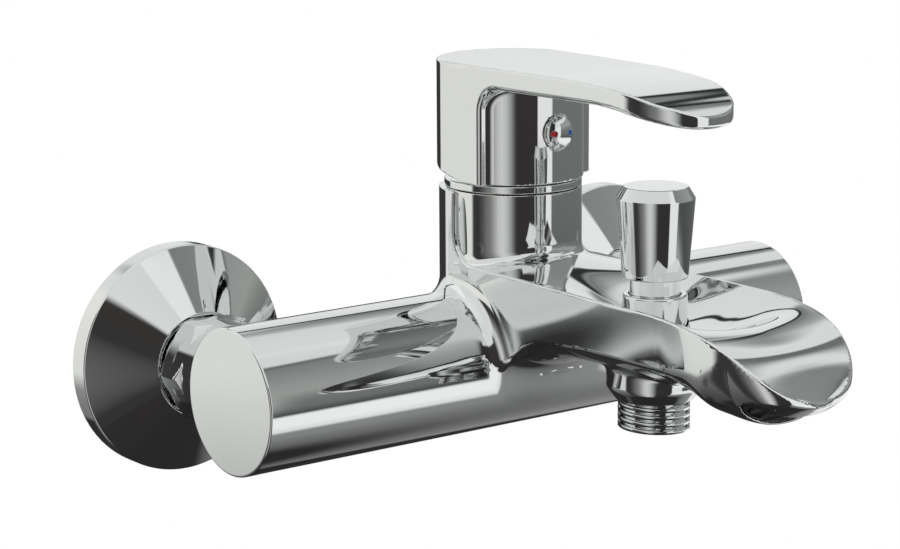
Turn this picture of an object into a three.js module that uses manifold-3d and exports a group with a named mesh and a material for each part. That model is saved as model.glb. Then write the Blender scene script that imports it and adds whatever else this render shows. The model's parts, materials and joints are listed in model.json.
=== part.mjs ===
// Wall mounted single lever bath and shower mixer, millimetres, +Z up, bather side towards -Y.
// The origin lies on the wall face, midway between the two inlets, at the height of the body tube's axis.
import * as THREE from 'three';
import * as BufferGeometryUtils from 'three/addons/utils/BufferGeometryUtils.js';
import Module from 'manifold-3d';

const wasm = await Module();
wasm.setup();

// ---------------------------------------------------------------------------------------------
// Driving dimensions
// ---------------------------------------------------------------------------------------------
const CLEAR = 0.3; // gap kept between neighbouring pieces
const OVERCUT = 1; // how far a cutting solid runs past the face it opens
const ROUND_LARGE = 40; // sides of the largest turned faces
const ROUND = 28; // sides of a middling turned piece
const ROUND_SMALL = 14; // sides of a small or hidden turned piece

// body tube, lying along X
const WALL_TO_AXIS = 61.2;
const TUBE_R = 21.3;
const TUBE_BORE_R = 18.6;
const CORE_HALF = 34; // half length of the undrilled middle of the tube
const BODY_LENGTH = 203.6; // over both end caps
const CAP_FLANGE = 3;
const CAP_PLUG = 10;
const CAP_LAND = 3; // plug between its inner end and the seal's groove
const CAP_BEVEL = 0.6;
const CAP_SEAL_WIDTH = 1.8;
const CAP_SEAL_DEPTH = 2.1;

// inlets, unions and wall connectors, lying along Y
const INLET_INSET = 18.8; // from a cap's face to the axis of the nearer inlet
const WALL_PITCH = 150; // between the supplies in the wall
const STUB_R = 11.5;
const STUB_BORE_R = 8.5;
const STUB_REACH = 28.7; // from the tube axis to the end of the inlet stub
const STUB_ROOT = 4; // how far a stub runs into the tube's wall and bore
const SNAP_RING_THICK = 1.4;
const SNAP_RING_DEPTH = 1.3; // groove depth in the stub
const SNAP_RING_PROUD = 1.3; // how far the ring stands out of the stub
const SNAP_RING_BACK = 1.7; // stub end to the ring
const SNAP_RING_SLOT = 3; // the split that lets the ring spring
const GASKET_THICK = 1.7;
const GASKET_PROUD = 1; // the gasket is this much wider than the stub
const UNION_THREAD_R = 13.2; // G3/4
const NUT_FLATS = 29.5;
const NUT_HEX_START = 31.8;
const NUT_HEX_END = 41.8;
const NUT_COLLAR_R = 15.2;
const NUT_LIP = 2;
const NUT_CHAMFER = 1.6;
const CONNECTOR_BORE_R = 8;
const CONNECTOR_TAIL_BORE_R = 7;
const CONNECTOR_HUB_R = 14;
const CONNECTOR_HUB_START = 48.6;
const CONNECTOR_HUB_END = 58;
const WALL_THREAD_R = 10.48; // G1/2
const WALL_THREAD_DEPTH = 20; // reach into the wall
const STRAINER_RIM = 1.4;
const STRAINER_THICK = 0.9;
const STRAINER_HOLE_R = 1.3;
const STRAINER_HOLES = 7; // holes round the middle one
const THREAD_GAP = 0.4; // radial room between the nut's bore and the male thread

// escutcheons
const ROSE_R = 34.5;
const ROSE_RIM = 6.6;
const ROSE_WALL = 1.6;
const ROSE_NECK_R = 15.9;
const ROSE_START = 43.6; // front edge of the cone

// collar above the tube and the 35 mm cartridge in it
const COLLAR_R = 22.2;
const COLLAR_FLAT = 0.3; // the flat side panels lie this far inside the back's radius
const COLLAR_STEP = 1.6; // and the round front this far
const COLLAR_PANEL_EDGE = 1; // the side panels end this far behind the cartridge axis
const COLLAR_PANEL_THICK = 2.6;
const COLLAR_FLARE = 11; // radius with which a panel runs out into the spout rim
const COLLAR_TOP = 51.4;
const CARTRIDGE_R = 17.5;
const POCKET_FLOOR = 16;
const NUT_THREAD_R = 18.9;
const NUT_BAY = 8.4; // depth of the threaded bay for the cartridge nut
const PORT_R = 3.6;
const PORT_X = 8;
const PORT_Y = 5;
const OUTLET_PORT_Y = -8;
const DUCT_R = 4.4; // hot and cold ducts, from the side bores to the ports
const DUCT_Z = 3;

// spout
const SPOUT_LENGTH = 131.8; // tube axis to tip
const TIP_RUN = 41.8; // the plan outline rounds in over this length
const TIP_HALF_WIDTH = 23.5;
const TIP_HEIGHT = 11.4;
const LIP_THICK = 2.2; // from the tip's rim down to its belly
const DISH_POWER = 3; // how flat the hollow is across before it turns up to the rim
const RIM_HEIGHT = 30; // of the spout's sides, from the collar to the tip's start
const TIP_ROUNDING = 3; // exponent of the plan outline
const HULL_ROUNDING = 2.5; // exponent of the section below the rim near the tip
const HULL_SIDE_SHARE = 0.6; // a depth under the belly counts for this much at the sides
const HULL_RUN = 36.8; // the flat sides turn into the rounded hull this far behind the tip
const HULL_FULL = 23.8; // and are all hull from here on
const RIM_FLAT = 0.9; // width of the narrow flat along the rim
const WATERWAY_HALF = 11; // half width of the flat waterway
const WATERWAY_RISE = 2.3; // half height of the flat waterway
const WATERWAY_Z = 10.3;
const WATERWAY_DIP = 18.5; // the waterway dips this far before the outlet
const WATERWAY_END_Z = 7.8;
const OUTLET_SETBACK = 9.3; // from the tip to the centre of the spout outlet
const OUTLET_HALF = 17; // half length of the outlet slot
const OUTLET_WIDTH = 9;
const OUTLET_DEPTH = 4.1;
const OUTLET_RECESS = 1; // the aerator sits this far inside the slot
const OUTLET_TILT = 25.5; // degrees that the slot leans forwards from straight down
const OUTLET_FACE_Z = 4.8; // height of the middle of the slot's mouth
const OUTLET_REACH = 8; // how far the slot's ends climb the hull
const AERATOR_THICK = 1.9;
const AERATOR_RIM = 1.1;
const AERATOR_TEETH = 9;
const TOOTH_THICK = 0.9;
const SCREEN_THICK = 0.6;

// diverter, standing on the spout
const DIVERTER_Y = -64.4;
const BOSS_R = 13.7;
const BOSS_FOOT_R = 11;
const BOSS_CHAMFER_TOP = 2.2;
const BOSS_FOOT = -1.5;
const BOSS_ROOT = 7; // how far the boss runs up into the spout above its chamfer
const CHAMBER_R = 7.2;
const CHAMBER_FLOOR = 2.5;
const CHAMBER_ROOF = 13.5;
const BONNET_R = 9.25;
const BONNET_TOP = 28.9;
const BONNET_EDGE = 1.2; // radius of its upper edge
const BONNET_SEAT = 18;
const BONNET_SHANK_R = 8;
const BONNET_GUIDE_R = 7.55;
const BONNET_WEB_TOP = 20.5;
const BONNET_WEB = 2;
const SPRING_BAY_R = 5.2;
const STEM_R = 2;
const STEM_HEAD_R = 3.5; // the stem is peened over to this radius under the lower seal
const STEM_TIP = 1; // and reaches this far below the nipple's top
const KNOB_NECK_R = 7.25;
const KNOB_FOOT_R = 9.4;
const KNOB_FOOT = 33.6;
const KNOB_SHOULDER_R = 11.16;
const KNOB_SHOULDER = 56.3;
const KNOB_TOP_R = 9.15;
const KNOB_TOP = 59.6;
const KNOB_SOCKET_ROOF = 6; // the stem's socket ends this far under the shoulder
const VALVE_R = 6.3;
const VALVE_THICK = 1.5;
const VALVE_SEAL_THICK = 0.8;
const VALVE_SEAL_R = 5.9;
const VALVE_REST = 0.4; // the lower seal's height over the nipple when the knob is down
const STEM_COLLAR_R = 4.7;
const STEM_COLLAR = 0.8;
const SPRING_MEAN_R = 4.1;
const SPRING_WIRE_R = 0.35;
const SPRING_TURNS = 3.5;

// shower outlet nipple, G1/2 male
const NIPPLE_SHANK_R = 8.4;
const NIPPLE_BORE_R = 6.4;
const THREAD_R = 10.48;
const THREAD_PITCH = 2.1;
const THREAD_DEPTH = 1.16;
const THREAD_TURNS = 4;
const THREAD_TOP = -2;
const THREAD_END = 0.35; // the last ridge is chamfered off by this much

// handle
const HANDLE_BACK_R = 22.75;
const HANDLE_FLAT = 1.25; // the flat sides lie this far inside the back's radius
const HANDLE_STEP = 1.75; // and the round front this far
const HANDLE_PANEL_EDGE = -10.8; // the side panels reach this far forwards of the cartridge axis
const HANDLE_FOOT = 54.3;
const HANDLE_WALL = 1.7; // of the round front
const HANDLE_CORNER = 7; // radius of the inside corner between panel and lever
const LEVER_TIP = 88.3; // cartridge axis to the lever's tip
const HANDLE_RELIEF_START = -3; // the skirt rises to the rear from here, so that the lever can lift
const HANDLE_RELIEF_ANGLE = 12.4;
const HANDLE_BOSS_R = 9.5;
const HANDLE_BOSS_FOOT = 62;
const HANDLE_TOP = 89.5;
const HANDLE_ROOF = 5; // thickness of the handle's top over the cavity
const LEVER_THICK = 6.3; // at the root
const LEVER_TIP_DROP = 7.5; // the tip's upper edge lies this far below the handle's top
const LEVER_TIP_THICK = 4;

// cartridge details
const SEAL_PLATE = 1.6;
const SEAL_PLATE_INSET = 1; // its rim lies this far inside the cartridge's
const HOUSING_BASE = 3;
const HOUSING_WALL = 2.2;
const HOUSING_TOP = 44.6;
const HOUSING_LIP = 1.8;
const HOUSING_SHOULDER = 2.4; // how far the lip reaches in over the rotor
const DISC_R = 13.4;
const DISC_THICK = 2.6;
const DISC_PORT_SHRINK = 0.8; // the fixed disc's ports are this much narrower than the housing's
const DISC_RECESS_R = 6.5;
const DISC_RECESS_Y = -1;
const DISC_RECESS_DEPTH = 1.4;
const CARRIER_R = 11;
const CARRIER_THICK = 3.4;
const CARRIER_SOCKET_PLAY = 0.9;
const CARRIER_SOCKET_WALL = 2;
const CARRIER_SOCKET_FLOOR = 1.2;
const CARRIER_SOCKET_RISE = 3; // the socket stands this far over the carrier's plate
const ROTOR_R = 14.6;
const ROTOR_GAP = 1.4; // rotor over the carrier's socket
const ROTOR_STEP = 3; // the wide part ends this far below the housing's lip
const ROTOR_RISE = 2; // the neck stands this far out of the housing
const ROTOR_MOUTH_R = 7.8;
const TILT_PIVOT = 44; // height of the lever's pivot pin
const SPINDLE_SIDE = 8;
const SPINDLE_TOP = 76;
const SPINDLE_FOOT = 29.6;
const SPINDLE_FOOT_R = 3;
const SPINDLE_HEEL = 4; // the square shaft starts this far below the pivot
const PIN_R = 1.6;
const PIN_HALF = 8.5;
const NUT_DROP = 0.4; // cartridge nut below the collar's top
const NUT_MOUTH_GAP = 0.6;
const NUT_NOTCH_WIDTH = 4;
const NUT_NOTCH_DEPTH = 2;
const NUT_NOTCH_WALL = 1.6; // thread left outside a notch
const TRIM_RING_R = 20.6;
const TRIM_RING_TOP = 54;
const TRIM_RING_DOME_R = 15.6;
const TRIM_RING_MOUTH_R = 11.6;
const TRIM_RING_RISE = 1; // the dome over the flat rim
const TRIM_RING_THICK = 1.2;
const TRIM_RING_SLOPE = 1.8; // width of the slope between dome and rim
const SCREW_Z = 69.4;
const SCREW_R = 2.5;
const SCREW_REACH = 14.5; // from the cartridge axis to the screw's outer end
const SCREW_BRIDGE_WALL = 2.4;
const BUTTON_R = 5.1;
const BUTTON_DOME = 2.4;
const BUTTON_PLUG_R = 3.4;
const BUTTON_PLUG = 3;
const DOT_R = 0.8;
const DOT_GAP = 0.15;
const DOT_PROUD = 0.1;
const DOT_THICK = 0.5;
const DOT_SPREAD = 3; // each dot's distance from the middle of the button

// ---------------------------------------------------------------------------------------------
// Materials
// ---------------------------------------------------------------------------------------------
const FINISHES = {
  chrome: { color: 0xe6e8e8, roughness: 0.06, metalness: 1 },
  brass: { color: 0xc9a55a, roughness: 0.35, metalness: 1 },
  steel: { color: 0xb9bcbf, roughness: 0.3, metalness: 1 },
  rubber: { color: 0x1d1d1f, roughness: 0.8, metalness: 0 },
  plastic: { color: 0xd9d9d2, roughness: 0.5, metalness: 0 },
  darkPlastic: { color: 0x202224, roughness: 0.45, metalness: 0 },
  ceramic: { color: 0xf0efe8, roughness: 0.2, metalness: 0 },
  redEnamel: { color: 0xb01818, roughness: 0.25, metalness: 0 },
  blueEnamel: { color: 0x2d5fae, roughness: 0.25, metalness: 0 },
};

// ---------------------------------------------------------------------------------------------
// Making solids
// ---------------------------------------------------------------------------------------------
function toSolid(geometry) {
  const bare = new THREE.BufferGeometry();
  bare.setAttribute('position', geometry.getAttribute('position').clone());
  if (geometry.index) bare.setIndex(geometry.index.clone());
  const merged = BufferGeometryUtils.mergeVertices(bare, 1e-4);
  const index = Array.from(merged.index.array);
  const position = merged.getAttribute('position');
  const triangles = [];
  let sixVolumes = 0;
  const a = new THREE.Vector3();
  const b = new THREE.Vector3();
  const c = new THREE.Vector3();
  for (let i = 0; i < index.length; i += 3) {
    const [p, q, r] = index.slice(i, i + 3);
    if (p === q || q === r || r === p) continue;
    triangles.push(p, q, r);
    a.fromBufferAttribute(position, p);
    b.fromBufferAttribute(position, q);
    c.fromBufferAttribute(position, r);
    sixVolumes += a.dot(b.cross(c));
  }
  if (sixVolumes < 0) triangles.reverse();
  return new wasm.Manifold(new wasm.Mesh({
    numProp: 3,
    vertProperties: new Float32Array(position.array),
    triVerts: new Uint32Array(triangles),
  }));
}

function toGeometry(solid) {
  const mesh = solid.getMesh();
  const geometry = new THREE.BufferGeometry();
  const positions = new Float32Array(mesh.numVert * 3);
  for (let i = 0; i < mesh.numVert; i += 1) {
    for (let k = 0; k < 3; k += 1) positions[3 * i + k] = mesh.vertProperties[mesh.numProp * i + k];
  }
  geometry.setAttribute('position', new THREE.BufferAttribute(positions, 3));
  geometry.setIndex(Array.from(mesh.triVerts));
  geometry.computeVertexNormals();
  return geometry;
}

function join(...solids) {
  return solids.reduce((whole, solid) => whole.add(solid));
}

function cut(solid, ...tools) {
  return tools.reduce((rest, tool) => rest.subtract(tool), solid);
}

// a turned solid: the profile's pairs are radius and height along the axis
function turned(profile, axis = 'z', sides = ROUND, centre = [0, 0, 0]) {
  const geometry = new THREE.LatheGeometry(profile.map(([r, h]) => new THREE.Vector2(r, h)), sides);
  if (axis === 'z') geometry.rotateX(Math.PI / 2);
  if (axis === 'x') geometry.rotateZ(-Math.PI / 2);
  geometry.translate(...centre);
  return toSolid(geometry);
}

function rod(radius, from, to, axis = 'z', centre = [0, 0, 0], sides = ROUND_SMALL) {
  return turned([[0, from], [radius, from], [radius, to], [0, to]], axis, sides, centre);
}

function ring(inner, outer, from, to, axis = 'z', centre = [0, 0, 0], sides = ROUND_SMALL) {
  const profile = [[inner, from], [outer, from], [outer, to], [inner, to], [inner, from]];
  return turned(profile, axis, sides, centre);
}

function block(x0, x1, y0, y1, z0, z1) {
  const geometry = new THREE.BoxGeometry(x1 - x0, y1 - y0, z1 - z0);
  geometry.translate((x0 + x1) / 2, (y0 + y1) / 2, (z0 + z1) / 2);
  return toSolid(geometry);
}

// a plan outline (x, y) raised from one height to another
function raised(points, from, to) {
  const shape = new THREE.Shape(points);
  const geometry = new THREE.ExtrudeGeometry(shape, { depth: to - from, bevelEnabled: false });
  geometry.translate(0, 0, from);
  return toSolid(geometry);
}

// a side outline (y, z) extruded along X
function sideways(points, from, to) {
  const shape = new THREE.Shape(points);
  const geometry = new THREE.ExtrudeGeometry(shape, { depth: to - from, bevelEnabled: false });
  const turn = new THREE.Matrix4().set(
    0, 0, 1, from,
    1, 0, 0, 0,
    0, 1, 0, 0,
    0, 0, 0, 1,
  );
  geometry.applyMatrix4(turn);
  return toSolid(geometry);
}

// a skin through rings of points that lie one behind the other, closed at both ends
function lofted(rings) {
  const count = rings[0].length;
  const positions = rings.flat().flatMap((point) => point.toArray());
  const index = [];
  for (let i = 0; i + 1 < rings.length; i += 1) {
    for (let k = 0; k < count; k += 1) {
      const here = i * count + k;
      const next = i * count + ((k + 1) % count);
      index.push(here, next, here + count, next, next + count, here + count);
    }
  }
  [0, rings.length - 1].forEach((end) => {
    const middle = positions.length / 3;
    const centre = new THREE.Vector3();
    rings[end].forEach((point) => centre.add(point));
    positions.push(...centre.divideScalar(count).toArray());
    for (let k = 0; k < count; k += 1) {
      const here = end * count + k;
      const next = end * count + ((k + 1) % count);
      if (end === 0) index.push(middle, next, here);
      else index.push(middle, here, next);
    }
  });
  const geometry = new THREE.BufferGeometry();
  geometry.setAttribute('position', new THREE.Float32BufferAttribute(positions, 3));
  geometry.setIndex(index);
  return toSolid(geometry);
}

// a smooth curve through pairs of distance and value, without overshoot
function profile(pairs) {
  const x = pairs.map((pair) => pair[0]);
  const y = pairs.map((pair) => pair[1]);
  const last = x.length - 1;
  const slope = (i) => (y[i + 1] - y[i]) / (x[i + 1] - x[i]);
  const tangent = (i) => {
    if (i === 0) return slope(0);
    if (i === last) return slope(last - 1);
    const before = slope(i - 1);
    const after = slope(i);
    return before * after <= 0 ? 0 : (2 * before * after) / (before + after);
  };
  return (at) => {
    if (at <= x[0]) return y[0];
    if (at >= x[last]) return y[last];
    let i = 0;
    while (at > x[i + 1]) i += 1;
    const span = x[i + 1] - x[i];
    const t = (at - x[i]) / span;
    const rise = y[i + 1] - y[i];
    const m0 = tangent(i) * span;
    const m1 = tangent(i + 1) * span;
    return y[i] + t * (m0 + t * ((3 * rise - 2 * m0 - m1) + t * (m0 + m1 - 2 * rise)));
  };
}

function arcPoints(cx, cy, radius, fromDegrees, toDegrees, steps) {
  return Array.from({ length: steps + 1 }, (_, i) => {
    const angle = THREE.MathUtils.degToRad(fromDegrees + ((toDegrees - fromDegrees) * i) / steps);
    return new THREE.Vector2(cx + radius * Math.cos(angle), cy + radius * Math.sin(angle));
  });
}

// the mixer's own frame: its origin is the middle of the body tube
const mixer = new THREE.Group();
mixer.position.set(0, -WALL_TO_AXIS, 0);

function add(name, solid, finish) {
  const mesh = new THREE.Mesh(toGeometry(solid), new THREE.MeshStandardMaterial(FINISHES[finish]));
  mesh.name = name;
  mixer.add(mesh);
}

const SIDES = [['left', -1], ['right', 1]];
const INLET_X = BODY_LENGTH / 2 - INLET_INSET;

// ---------------------------------------------------------------------------------------------
// Spout: side curves against the distance forwards of the tube axis, the last points from the tip
// ---------------------------------------------------------------------------------------------
const COLLAR_SIDE = COLLAR_R - COLLAR_FLAT;
const COLLAR_FRONT_R = COLLAR_R - COLLAR_STEP;
const fromTip = (setback) => SPOUT_LENGTH - setback;
const TIP_START = fromTip(TIP_RUN);
const HULL_START = fromTip(HULL_RUN);
const HULL_END = fromTip(HULL_FULL);
const OUTLET_Y = fromTip(OUTLET_SETBACK);
const WATERWAY_BEND = OUTLET_Y - WATERWAY_DIP;
const rimHeight = profile([
  [0, RIM_HEIGHT], [fromTip(46.8), RIM_HEIGHT], [fromTip(38.8), 29.7], [fromTip(30.8), 28.8],
  [fromTip(23.1), 27.1], [fromTip(15.4), 24], [fromTip(7.6), 18.7], [fromTip(3.3), 14.6],
  [fromTip(0), TIP_HEIGHT],
]);
// how far the middle of the hollowed top lies below the rim, less than nothing where it rises to the collar
const dishDepth = profile([
  [0, -5], [20, -3], [45, 3], [64, 9.5], [fromTip(51.8), 9.4], [fromTip(36.8), 6.1],
  [fromTip(26.8), 1.8], [fromTip(18.8), 1], [fromTip(10.8), 0.1], [fromTip(4.8), 0.8], [fromTip(0), 1.2],
]);
const sideHeight = profile([
  [0, -14], [19, 1], [27, 7.6], [32, 11.2], [38, 13.2], [48, 14.2], [62, 15.2], [fromTip(41.8), 15.6],
  [fromTip(27.8), 13],
]);
const bellyHeight = profile([
  [0, -16], [16, -6], [26, 2], [40, 5], [60, 6], [fromTip(31.8), 6], [fromTip(23.8), 3.3],
  [fromTip(15.8), 1.9], [fromTip(7.8), 4.3], [fromTip(0), TIP_HEIGHT - LIP_THICK],
]);
const halfWidth = profile([[0, COLLAR_SIDE], [30, 22.2], [75, 23.6], [TIP_START, TIP_HALF_WIDTH]]);

function spoutHalfWidth(along) {
  if (along <= TIP_START) return halfWidth(along);
  const share = Math.min(1, (along - TIP_START) / (SPOUT_LENGTH - TIP_START));
  return TIP_HALF_WIDTH * (1 - share ** TIP_ROUNDING) ** (1 / TIP_ROUNDING);
}

// half of a section, from the middle of the floor over the rim to the middle of the belly,
// drawn smaller by an inset at the sides and a lift of the belly
function spoutHalfSection(along, inset, lift) {
  const width = Math.max(spoutHalfWidth(along) - inset, 1);
  const rim = rimHeight(along);
  const floor = rim - dishDepth(along);
  const belly = Math.min(bellyHeight(along) + lift, rim - 0.6);
  const side = Math.max(Math.min(sideHeight(along), rim - 1), belly + 0.3);
  const hull = THREE.MathUtils.smoothstep(along, HULL_START, HULL_END);
  const flat = Math.min(RIM_FLAT, 0.3 * width);
  const points = [];
  const FLOOR_STEPS = 5;
  for (let i = 0; i < FLOOR_STEPS; i += 1) {
    const share = i / FLOOR_STEPS;
    points.push([share * (width - flat), floor + (rim - floor) * share ** DISH_POWER]);
  }
  points.push([width - flat, rim]);
  const HULL_STEPS = 8;
  for (let i = 0; i <= HULL_STEPS; i += 1) {
    const turn = (i / HULL_STEPS) * (Math.PI / 2);
    const round = [
      width * Math.cos(turn) ** (2 / HULL_ROUNDING),
      rim - (rim - belly) * Math.sin(turn) ** (2 / HULL_ROUNDING),
    ];
    const down = Math.min(1, i / 3);
    const inward = Math.max(0, (i - 3) / (HULL_STEPS - 3));
    const boxy = [
      (width - 0.6 * down) * (1 - inward),
      rim + (side - rim) * down + (belly - side) * (1 - (1 - inward) ** 2),
    ];
    points.push([0, 1].map((k) => boxy[k] + (round[k] - boxy[k]) * hull));
  }
  return points;
}

const SPOUT_STATIONS = [
  4, 14, 20, 26, 32, 38, 48, 60,
  ...[56.8, 43.8, 35.8, 29.8, 24.8, 19.8, 14.8, 10.3, 6.6, 3.6, 1.5, 0.3].map(fromTip),
];

function spoutShell(inset = 0, lift = 0) {
  const start = lift > 0 ? HULL_START : 0;
  const end = SPOUT_LENGTH - inset;
  const stations = SPOUT_STATIONS.filter((along) => along > start && along <= end);
  const rings = stations.map((along) => {
    const half = spoutHalfSection(along, inset, lift);
    const right = half.map(([x, z]) => new THREE.Vector3(x, -along, z));
    const left = half.slice(1, -1).reverse().map(([x, z]) => new THREE.Vector3(-x, -along, z));
    return [...right, ...left];
  });
  return lofted(rings);
}

// ---------------------------------------------------------------------------------------------
// Body casting
// ---------------------------------------------------------------------------------------------
// round at the back, flat at the sides, cut square at a given front line
function shellPlan(backRadius, side, front) {
  const cornerAngle = THREE.MathUtils.radToDeg(Math.acos(side / backRadius));
  return [
    new THREE.Vector2(side, front),
    ...arcPoints(0, 0, backRadius, cornerAngle, 180 - cornerAngle, 20),
    new THREE.Vector2(-side, front),
  ];
}

function collarSolid() {
  const front = rod(COLLAR_FRONT_R, 0, COLLAR_TOP, 'z', [0, 0, 0], ROUND);
  const shell = raised(shellPlan(COLLAR_R, COLLAR_SIDE, COLLAR_PANEL_EDGE), 0, COLLAR_TOP);
  const rim = rimHeight(0);
  const flare = [
    new THREE.Vector2(COLLAR_PANEL_EDGE + OVERCUT, rim - OVERCUT),
    new THREE.Vector2(COLLAR_PANEL_EDGE + OVERCUT, rim + COLLAR_FLARE),
    ...arcPoints(COLLAR_PANEL_EDGE - COLLAR_FLARE, rim + COLLAR_FLARE, COLLAR_FLARE, 0, -90, 8),
    new THREE.Vector2(COLLAR_PANEL_EDGE - COLLAR_FLARE, rim - OVERCUT),
  ];
  const panels = [-1, 1].map((side) => {
    const edges = [side * COLLAR_SIDE, side * (COLLAR_SIDE - COLLAR_PANEL_THICK)].sort((p, q) => p - q);
    return sideways(flare, ...edges);
  });
  return join(front, shell, ...panels);
}

function inletStub(side) {
  const at = [side * INLET_X, 0, 0];
  const ringEnd = STUB_REACH - SNAP_RING_BACK;
  const groove = [ringEnd - SNAP_RING_THICK - CLEAR, ringEnd + CLEAR];
  return cut(
    rod(STUB_R, TUBE_BORE_R - STUB_ROOT, STUB_REACH, 'y', at, ROUND),
    ring(STUB_R - SNAP_RING_DEPTH - CLEAR, STUB_R + OVERCUT, ...groove, 'y', at, ROUND),
  );
}

function waterway(from, to) {
  const shape = new THREE.Shape();
  shape.absellipse(0, 0, WATERWAY_HALF, WATERWAY_RISE, 0, 2 * Math.PI);
  const start = new THREE.Vector3(...from);
  const line = new THREE.Vector3(...to).sub(start);
  const geometry = new THREE.ExtrudeGeometry(shape, {
    depth: line.length(), bevelEnabled: false, curveSegments: 6,
  });
  const climb = Math.atan2(line.z, -line.y);
  geometry.rotateX(Math.PI / 2 - climb);
  geometry.translate(...from);
  return toSolid(geometry);
}

// the outlet slot's outline, shrunk by a margin, as a long plug along the slot's leaning axis
function outletPlug(margin) {
  const radius = OUTLET_WIDTH / 2 - margin;
  const reach = OUTLET_HALF - OUTLET_WIDTH / 2;
  const outline = [
    ...arcPoints(reach, 0, radius, -90, 90, 8),
    ...arcPoints(-reach, 0, radius, 90, 270, 8),
  ];
  const depth = OUTLET_WIDTH + OUTLET_REACH;
  const geometry = new THREE.ExtrudeGeometry(new THREE.Shape(outline), { depth, bevelEnabled: false });
  geometry.translate(0, 0, -OUTLET_WIDTH);
  geometry.rotateX(THREE.MathUtils.degToRad(-OUTLET_TILT));
  geometry.translate(0, -OUTLET_Y, OUTLET_FACE_Z);
  return toSolid(geometry);
}

// what the plug holds between two depths under the spout's rounded belly
function curvedSlab(margin, from, to) {
  const hullAt = (depth) => spoutShell(depth * HULL_SIDE_SHARE, depth);
  const slab = cut(outletPlug(margin), hullAt(to));
  return from > 0 ? slab.intersect(hullAt(from)) : slab;
}

function bodyCasting() {
  const tubeHalf = BODY_LENGTH / 2 - CAP_FLANGE - CLEAR;
  const tube = rod(TUBE_R, -tubeHalf, tubeHalf, 'x', [0, 0, 0], ROUND_LARGE);
  const here = [0, DIVERTER_Y, 0];
  const boss = turned([
    [0, BOSS_FOOT], [BOSS_FOOT_R, BOSS_FOOT], [BOSS_R, BOSS_CHAMFER_TOP],
    [BOSS_R, BOSS_CHAMFER_TOP + BOSS_ROOT], [0, BOSS_CHAMFER_TOP + BOSS_ROOT],
  ], 'z', ROUND, here);
  const outside = join(tube, collarSolid(), spoutShell(), boss, inletStub(-1), inletStub(1));

  const pocket = [
    rod(CARTRIDGE_R + CLEAR, POCKET_FLOOR, COLLAR_TOP + OVERCUT, 'z', [0, 0, 0], ROUND),
    rod(NUT_THREAD_R + CLEAR, COLLAR_TOP - NUT_BAY, COLLAR_TOP + OVERCUT, 'z', [0, 0, 0], ROUND),
  ];
  const sideBores = SIDES.flatMap(([, side]) => {
    const ends = [side * CORE_HALF, side * (tubeHalf + OVERCUT)].sort((p, q) => p - q);
    const duct = [side * (PORT_X - PORT_R), side * (CORE_HALF + OVERCUT)].sort((p, q) => p - q);
    const inlet = [side * INLET_X, 0, 0];
    return [
      rod(TUBE_BORE_R, ...ends, 'x', [0, 0, 0], ROUND),
      rod(DUCT_R, ...duct, 'x', [0, PORT_Y, DUCT_Z], 12),
      rod(PORT_R, DUCT_Z, POCKET_FLOOR + OVERCUT, 'z', [side * PORT_X, PORT_Y, 0], 12),
      rod(STUB_BORE_R, 0, STUB_REACH + OVERCUT, 'y', inlet, ROUND_SMALL),
    ];
  });
  const outletPort = rod(PORT_R, WATERWAY_Z, POCKET_FLOOR + OVERCUT, 'z', [0, OUTLET_PORT_Y, 0], 12);
  const inletDuct = waterway([0, OUTLET_PORT_Y, WATERWAY_Z], [0, DIVERTER_Y, WATERWAY_Z]);
  const bend = [0, -WATERWAY_BEND, WATERWAY_Z];
  const spoutDucts = [
    waterway([0, DIVERTER_Y, WATERWAY_Z], bend),
    waterway(bend, [0, -OUTLET_Y, WATERWAY_END_Z]),
  ];
  const chamber = [
    rod(CHAMBER_R, CHAMBER_FLOOR - OVERCUT, CHAMBER_ROOF + OVERCUT, 'z', here),
    rod(NIPPLE_SHANK_R + CLEAR, BOSS_FOOT - OVERCUT, CHAMBER_FLOOR, 'z', here),
    rod(BONNET_SHANK_R + CLEAR, CHAMBER_ROOF, BONNET_SEAT + OVERCUT, 'z', here),
    rod(BONNET_R + CLEAR, BONNET_SEAT, BONNET_TOP, 'z', here, ROUND),
  ];
  const outlet = curvedSlab(0, -1, OUTLET_DEPTH);
  return cut(outside, ...pocket, ...sideBores, outletPort, inletDuct, ...spoutDucts, ...chamber, outlet);
}

add('body_casting', bodyCasting(), 'chrome');

// ---------------------------------------------------------------------------------------------
// End caps of the tube
// ---------------------------------------------------------------------------------------------
function endCap(side) {
  const face = BODY_LENGTH / 2;
  const flange = face - CAP_FLANGE;
  const plugR = TUBE_BORE_R - CLEAR;
  const plugEnd = flange - CLEAR - CAP_PLUG;
  const grooveStart = plugEnd + CAP_LAND;
  const grooveEnd = grooveStart + CAP_SEAL_WIDTH + 2 * CLEAR;
  const grooveR = plugR - CAP_SEAL_DEPTH - CLEAR;
  const plug = [
    [0, plugEnd], [plugR, plugEnd], [plugR, grooveStart], [grooveR, grooveStart], [grooveR, grooveEnd],
    [plugR, grooveEnd], [plugR, flange + OVERCUT], [0, flange + OVERCUT],
  ];
  const disc = [
    [0, flange], [TUBE_R, flange], [TUBE_R, face - CAP_BEVEL], [TUBE_R - CAP_BEVEL, face], [0, face],
  ];
  const along = (outline) => outline.map(([r, x]) => [r, side * x]);
  return join(turned(along(plug), 'x', ROUND_SMALL), turned(along(disc), 'x', ROUND_LARGE));
}

function capSeal(side) {
  const plugR = TUBE_BORE_R - CLEAR;
  const start = BODY_LENGTH / 2 - CAP_FLANGE - CAP_PLUG + CAP_LAND;
  const ends = [side * start, side * (start + CAP_SEAL_WIDTH)].sort((p, q) => p - q);
  return ring(plugR - CAP_SEAL_DEPTH, plugR, ...ends, 'x');
}

SIDES.forEach(([word, side]) => {
  add(`${word}_end_cap`, endCap(side), 'chrome');
  add(`${word}_cap_seal`, capSeal(side), 'rubber');
});

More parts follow.
